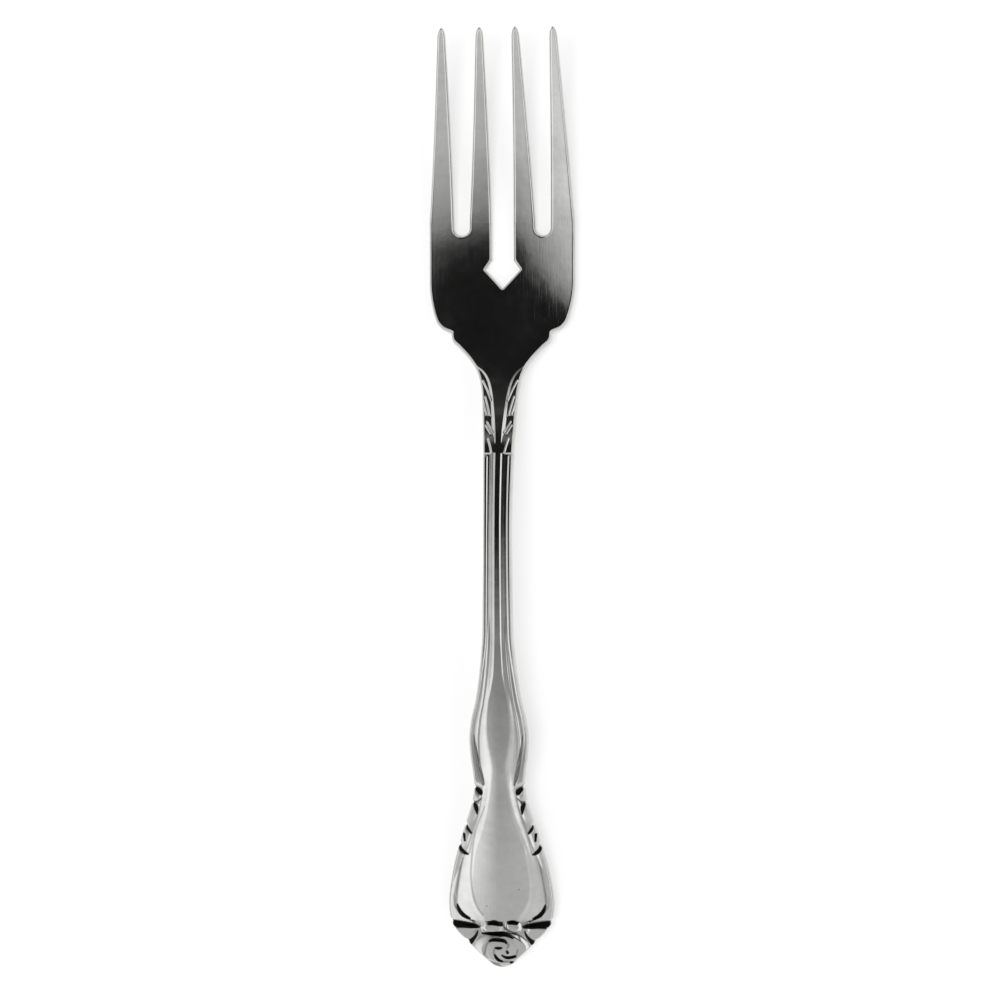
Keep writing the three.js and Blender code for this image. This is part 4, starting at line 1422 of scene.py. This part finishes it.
def build_world(stage):
    """Surroundings that depend on direction: bright on the left and towards the handle's end, grey and then
    white on the right, dark overhead and towards the tines, and an even grey near the horizon.

    Across is 0 in the direction that a level face mirrors to the camera."""
    world = bpy.data.worlds.new("studio")
    bpy.context.scene.world = world
    tree = node_tree_of(world)
    output = tree.nodes.new("ShaderNodeOutputWorld")
    background = tree.nodes.new("ShaderNodeBackground")
    tree.links.new(background.outputs["Background"], output.inputs["Surface"])
    direction = tree.nodes.new("ShaderNodeSeparateXYZ")
    tree.links.new(tree.nodes.new("ShaderNodeTexCoord").outputs["Generated"], direction.inputs[0])
    across = math_node(tree, "ADD", direction.outputs["X"], np.sin(stage.lean))
    to_left = math_node(tree, "MINIMUM", across, 0.0)
    to_right = math_node(tree, "MAXIMUM", across, 0.0)
    left = math_node(tree, "MULTIPLY", soft_rise(tree, to_left, LEFT_SOFTNESS), LEFT_GAIN)
    right = math_node(tree, "MULTIPLY", soft_rise(tree, to_right, RIGHT_SOFTNESS), RIGHT_GAIN)
    shaded = math_node(tree, "SMOOTH_MIN", right, RIGHT_LEVEL, RIGHT_LEVEL_SOFTNESS)
    to_handle = math_node(tree, "MINIMUM", direction.outputs["Y"], 0.0)
    to_tines = math_node(tree, "MAXIMUM", direction.outputs["Y"], 0.0)
    reach = math_node(tree, "MULTIPLY_ADD", to_tines, FAR_RIGHT_TURN, across)
    far_right = math_node(tree, "MULTIPLY", smooth_step(tree, reach, *FAR_RIGHT_STEP), FAR_RIGHT_GAIN)
    leftward = math_node(tree, "MULTIPLY", across, -1.0)
    far_left = math_node(tree, "MULTIPLY", smooth_step(tree, leftward, *FAR_LEFT_STEP), FAR_LEFT_GAIN)
    far = math_node(tree, "ADD", far_left, far_right)
    sideways = math_node(tree, "ADD", math_node(tree, "ADD", left, shaded), far)
    leaning = math_node(tree, "MULTIPLY", math_node(tree, "ABSOLUTE", across), SHADE_FADE, clamp=True)
    shade = math_node(tree, "MULTIPLY", to_tines, math_node(tree, "SUBTRACT", 1.0, leaning))
    towards = math_node(tree, "SUBTRACT", math_node(tree, "SUBTRACT", sideways, to_handle), shade)
    straight = math_node(tree, "DIVIDE", math_node(tree, "ADD", towards, DARK), FULL_WHITE)
    toe = smooth_step(tree, straight, 0.0, TOE)
    white = math_node(tree, "MULTIPLY", math_node(tree, "MULTIPLY_ADD", straight, toe, DARK), WHITE_GAIN)
    capped = math_node(tree, "SMOOTH_MIN", white, stage.sky, SKY_SOFTNESS)
    up = smooth_step(tree, direction.outputs["Z"], *UP_STEP)
    beyond = smooth_step(tree, to_tines, *BEYOND_STEP)
    sky = math_node(tree, "MULTIPLY_ADD", beyond, stage.horizon, capped)
    above = math_node(tree, "MULTIPLY", sky, up)
    below = math_node(tree, "MULTIPLY", math_node(tree, "SUBTRACT", 1.0, up), stage.horizon)
    tree.links.new(math_node(tree, "ADD", above, below), background.inputs["Strength"])
    background.inputs["Color"].default_value = (1.0, 1.0, 1.0, 1.0)


# The overhead softbox: its place, the point that it faces, its size and its power
SOFTBOX_PLACE = (-0.12, 0.0, 1.0)
SOFTBOX_AIM = (0.0, 0.0, 0.0)
SOFTBOX_SIZE = 0.4
SOFTBOX_POWER = 5.5


def add_softbox(name, place_at, aim, size, power):
    """A square softbox that faces a point."""
    lamp = bpy.data.lights.new(name, "AREA")
    lamp.shape = "SQUARE"
    lamp.size = size
    lamp.energy = power
    thing = bpy.data.objects.new(name, lamp)
    start = np.array(place_at)
    ray = np.array(aim) - start
    flat = np.hypot(ray[0], ray[1])
    thing.location = place_at
    thing.rotation_euler = (np.arctan2(flat, -ray[2]), 0.0, np.arctan2(-ray[0], ray[1]))
    bpy.context.scene.collection.objects.link(thing)
    return thing


def build_camera(stage):
    """A long lens above the fork and a little to its right, as in the photograph, with the tines up."""
    camera = bpy.data.cameras.new("camera")
    camera.lens = stage.lens
    height = (CAD_HIGH.y - CAD_LOW.y) / stage.fill
    distance = height * stage.lens / camera.sensor_width
    thing = bpy.data.objects.new("camera", camera)
    away = (distance * np.sin(stage.lean), distance * np.cos(stage.lean))
    thing.location = (away[0], (CAD_HIGH.y + CAD_LOW.y) / 2.0, CAD_HIGH.z / 2.0 + away[1])
    thing.rotation_euler = (0.0, stage.lean, 0.0)
    bpy.context.scene.collection.objects.link(thing)
    bpy.context.scene.camera = thing


class FORK_OT_stage(bpy.types.Operator):
    """Builds the pale floor, the soft studio light and the camera"""

    bl_idname = "fork.stage"
    bl_label = "Stage"

    def execute(self, context):
        stage = context.scene.fork_stage
        build_floor(stage)
        build_world(stage)
        overhead = add_softbox("softbox_overhead", SOFTBOX_PLACE, SOFTBOX_AIM, SOFTBOX_SIZE, SOFTBOX_POWER)
        overhead.visible_glossy = False
        build_camera(stage)
        context.scene.view_settings.view_transform = "Standard"
        return {"FINISHED"}


class FORK_PT_panel(bpy.types.Panel):
    """Sidebar panel with the fork's sizes, finish, stage and pieces"""

    bl_idname = "FORK_PT_panel"
    bl_label = "Salad Fork"
    bl_space_type = "VIEW_3D"
    bl_region_type = "UI"
    bl_category = "Fork"

    def draw(self, context):
        scene = context.scene
        for group in (scene.fork_sizes, scene.fork_finish, scene.fork_stage):
            box = self.layout.box()
            for name in group.__annotations__:
                box.prop(group, name)
        for operator in OPERATORS:
            self.layout.operator(operator.bl_idname)


GROUPS = (ForkSizes, ForkFinish, ForkStage)
OPERATORS = (
    FORK_OT_rose_end,
    FORK_OT_blade,
    FORK_OT_hip,
    FORK_OT_stem,
    FORK_OT_neck,
    FORK_OT_palm,
    FORK_OT_tines,
    FORK_OT_stage,
)
CLASSES = GROUPS + OPERATORS + (FORK_PT_panel,)


def register():
    """Registers the classes and hangs the property groups on the scene."""
    for cls in CLASSES:
        bpy.utils.register_class(cls)
    bpy.types.Scene.fork_sizes = bpy.props.PointerProperty(type=ForkSizes)
    bpy.types.Scene.fork_finish = bpy.props.PointerProperty(type=ForkFinish)
    bpy.types.Scene.fork_stage = bpy.props.PointerProperty(type=ForkStage)


def unregister():
    """Takes away what register added."""
    del bpy.types.Scene.fork_stage
    del bpy.types.Scene.fork_finish
    del bpy.types.Scene.fork_sizes
    for cls in reversed(CLASSES):
        bpy.utils.unregister_class(cls)


def main():
    """Builds all pieces and the stage."""
    register()
    bpy.ops.fork.rose_end()
    bpy.ops.fork.blade()
    bpy.ops.fork.hip()
    bpy.ops.fork.stem()
    bpy.ops.fork.neck()
    bpy.ops.fork.palm()
    bpy.ops.fork.tines()
    bpy.ops.fork.stage()


if __name__ == "__main__":
    main()
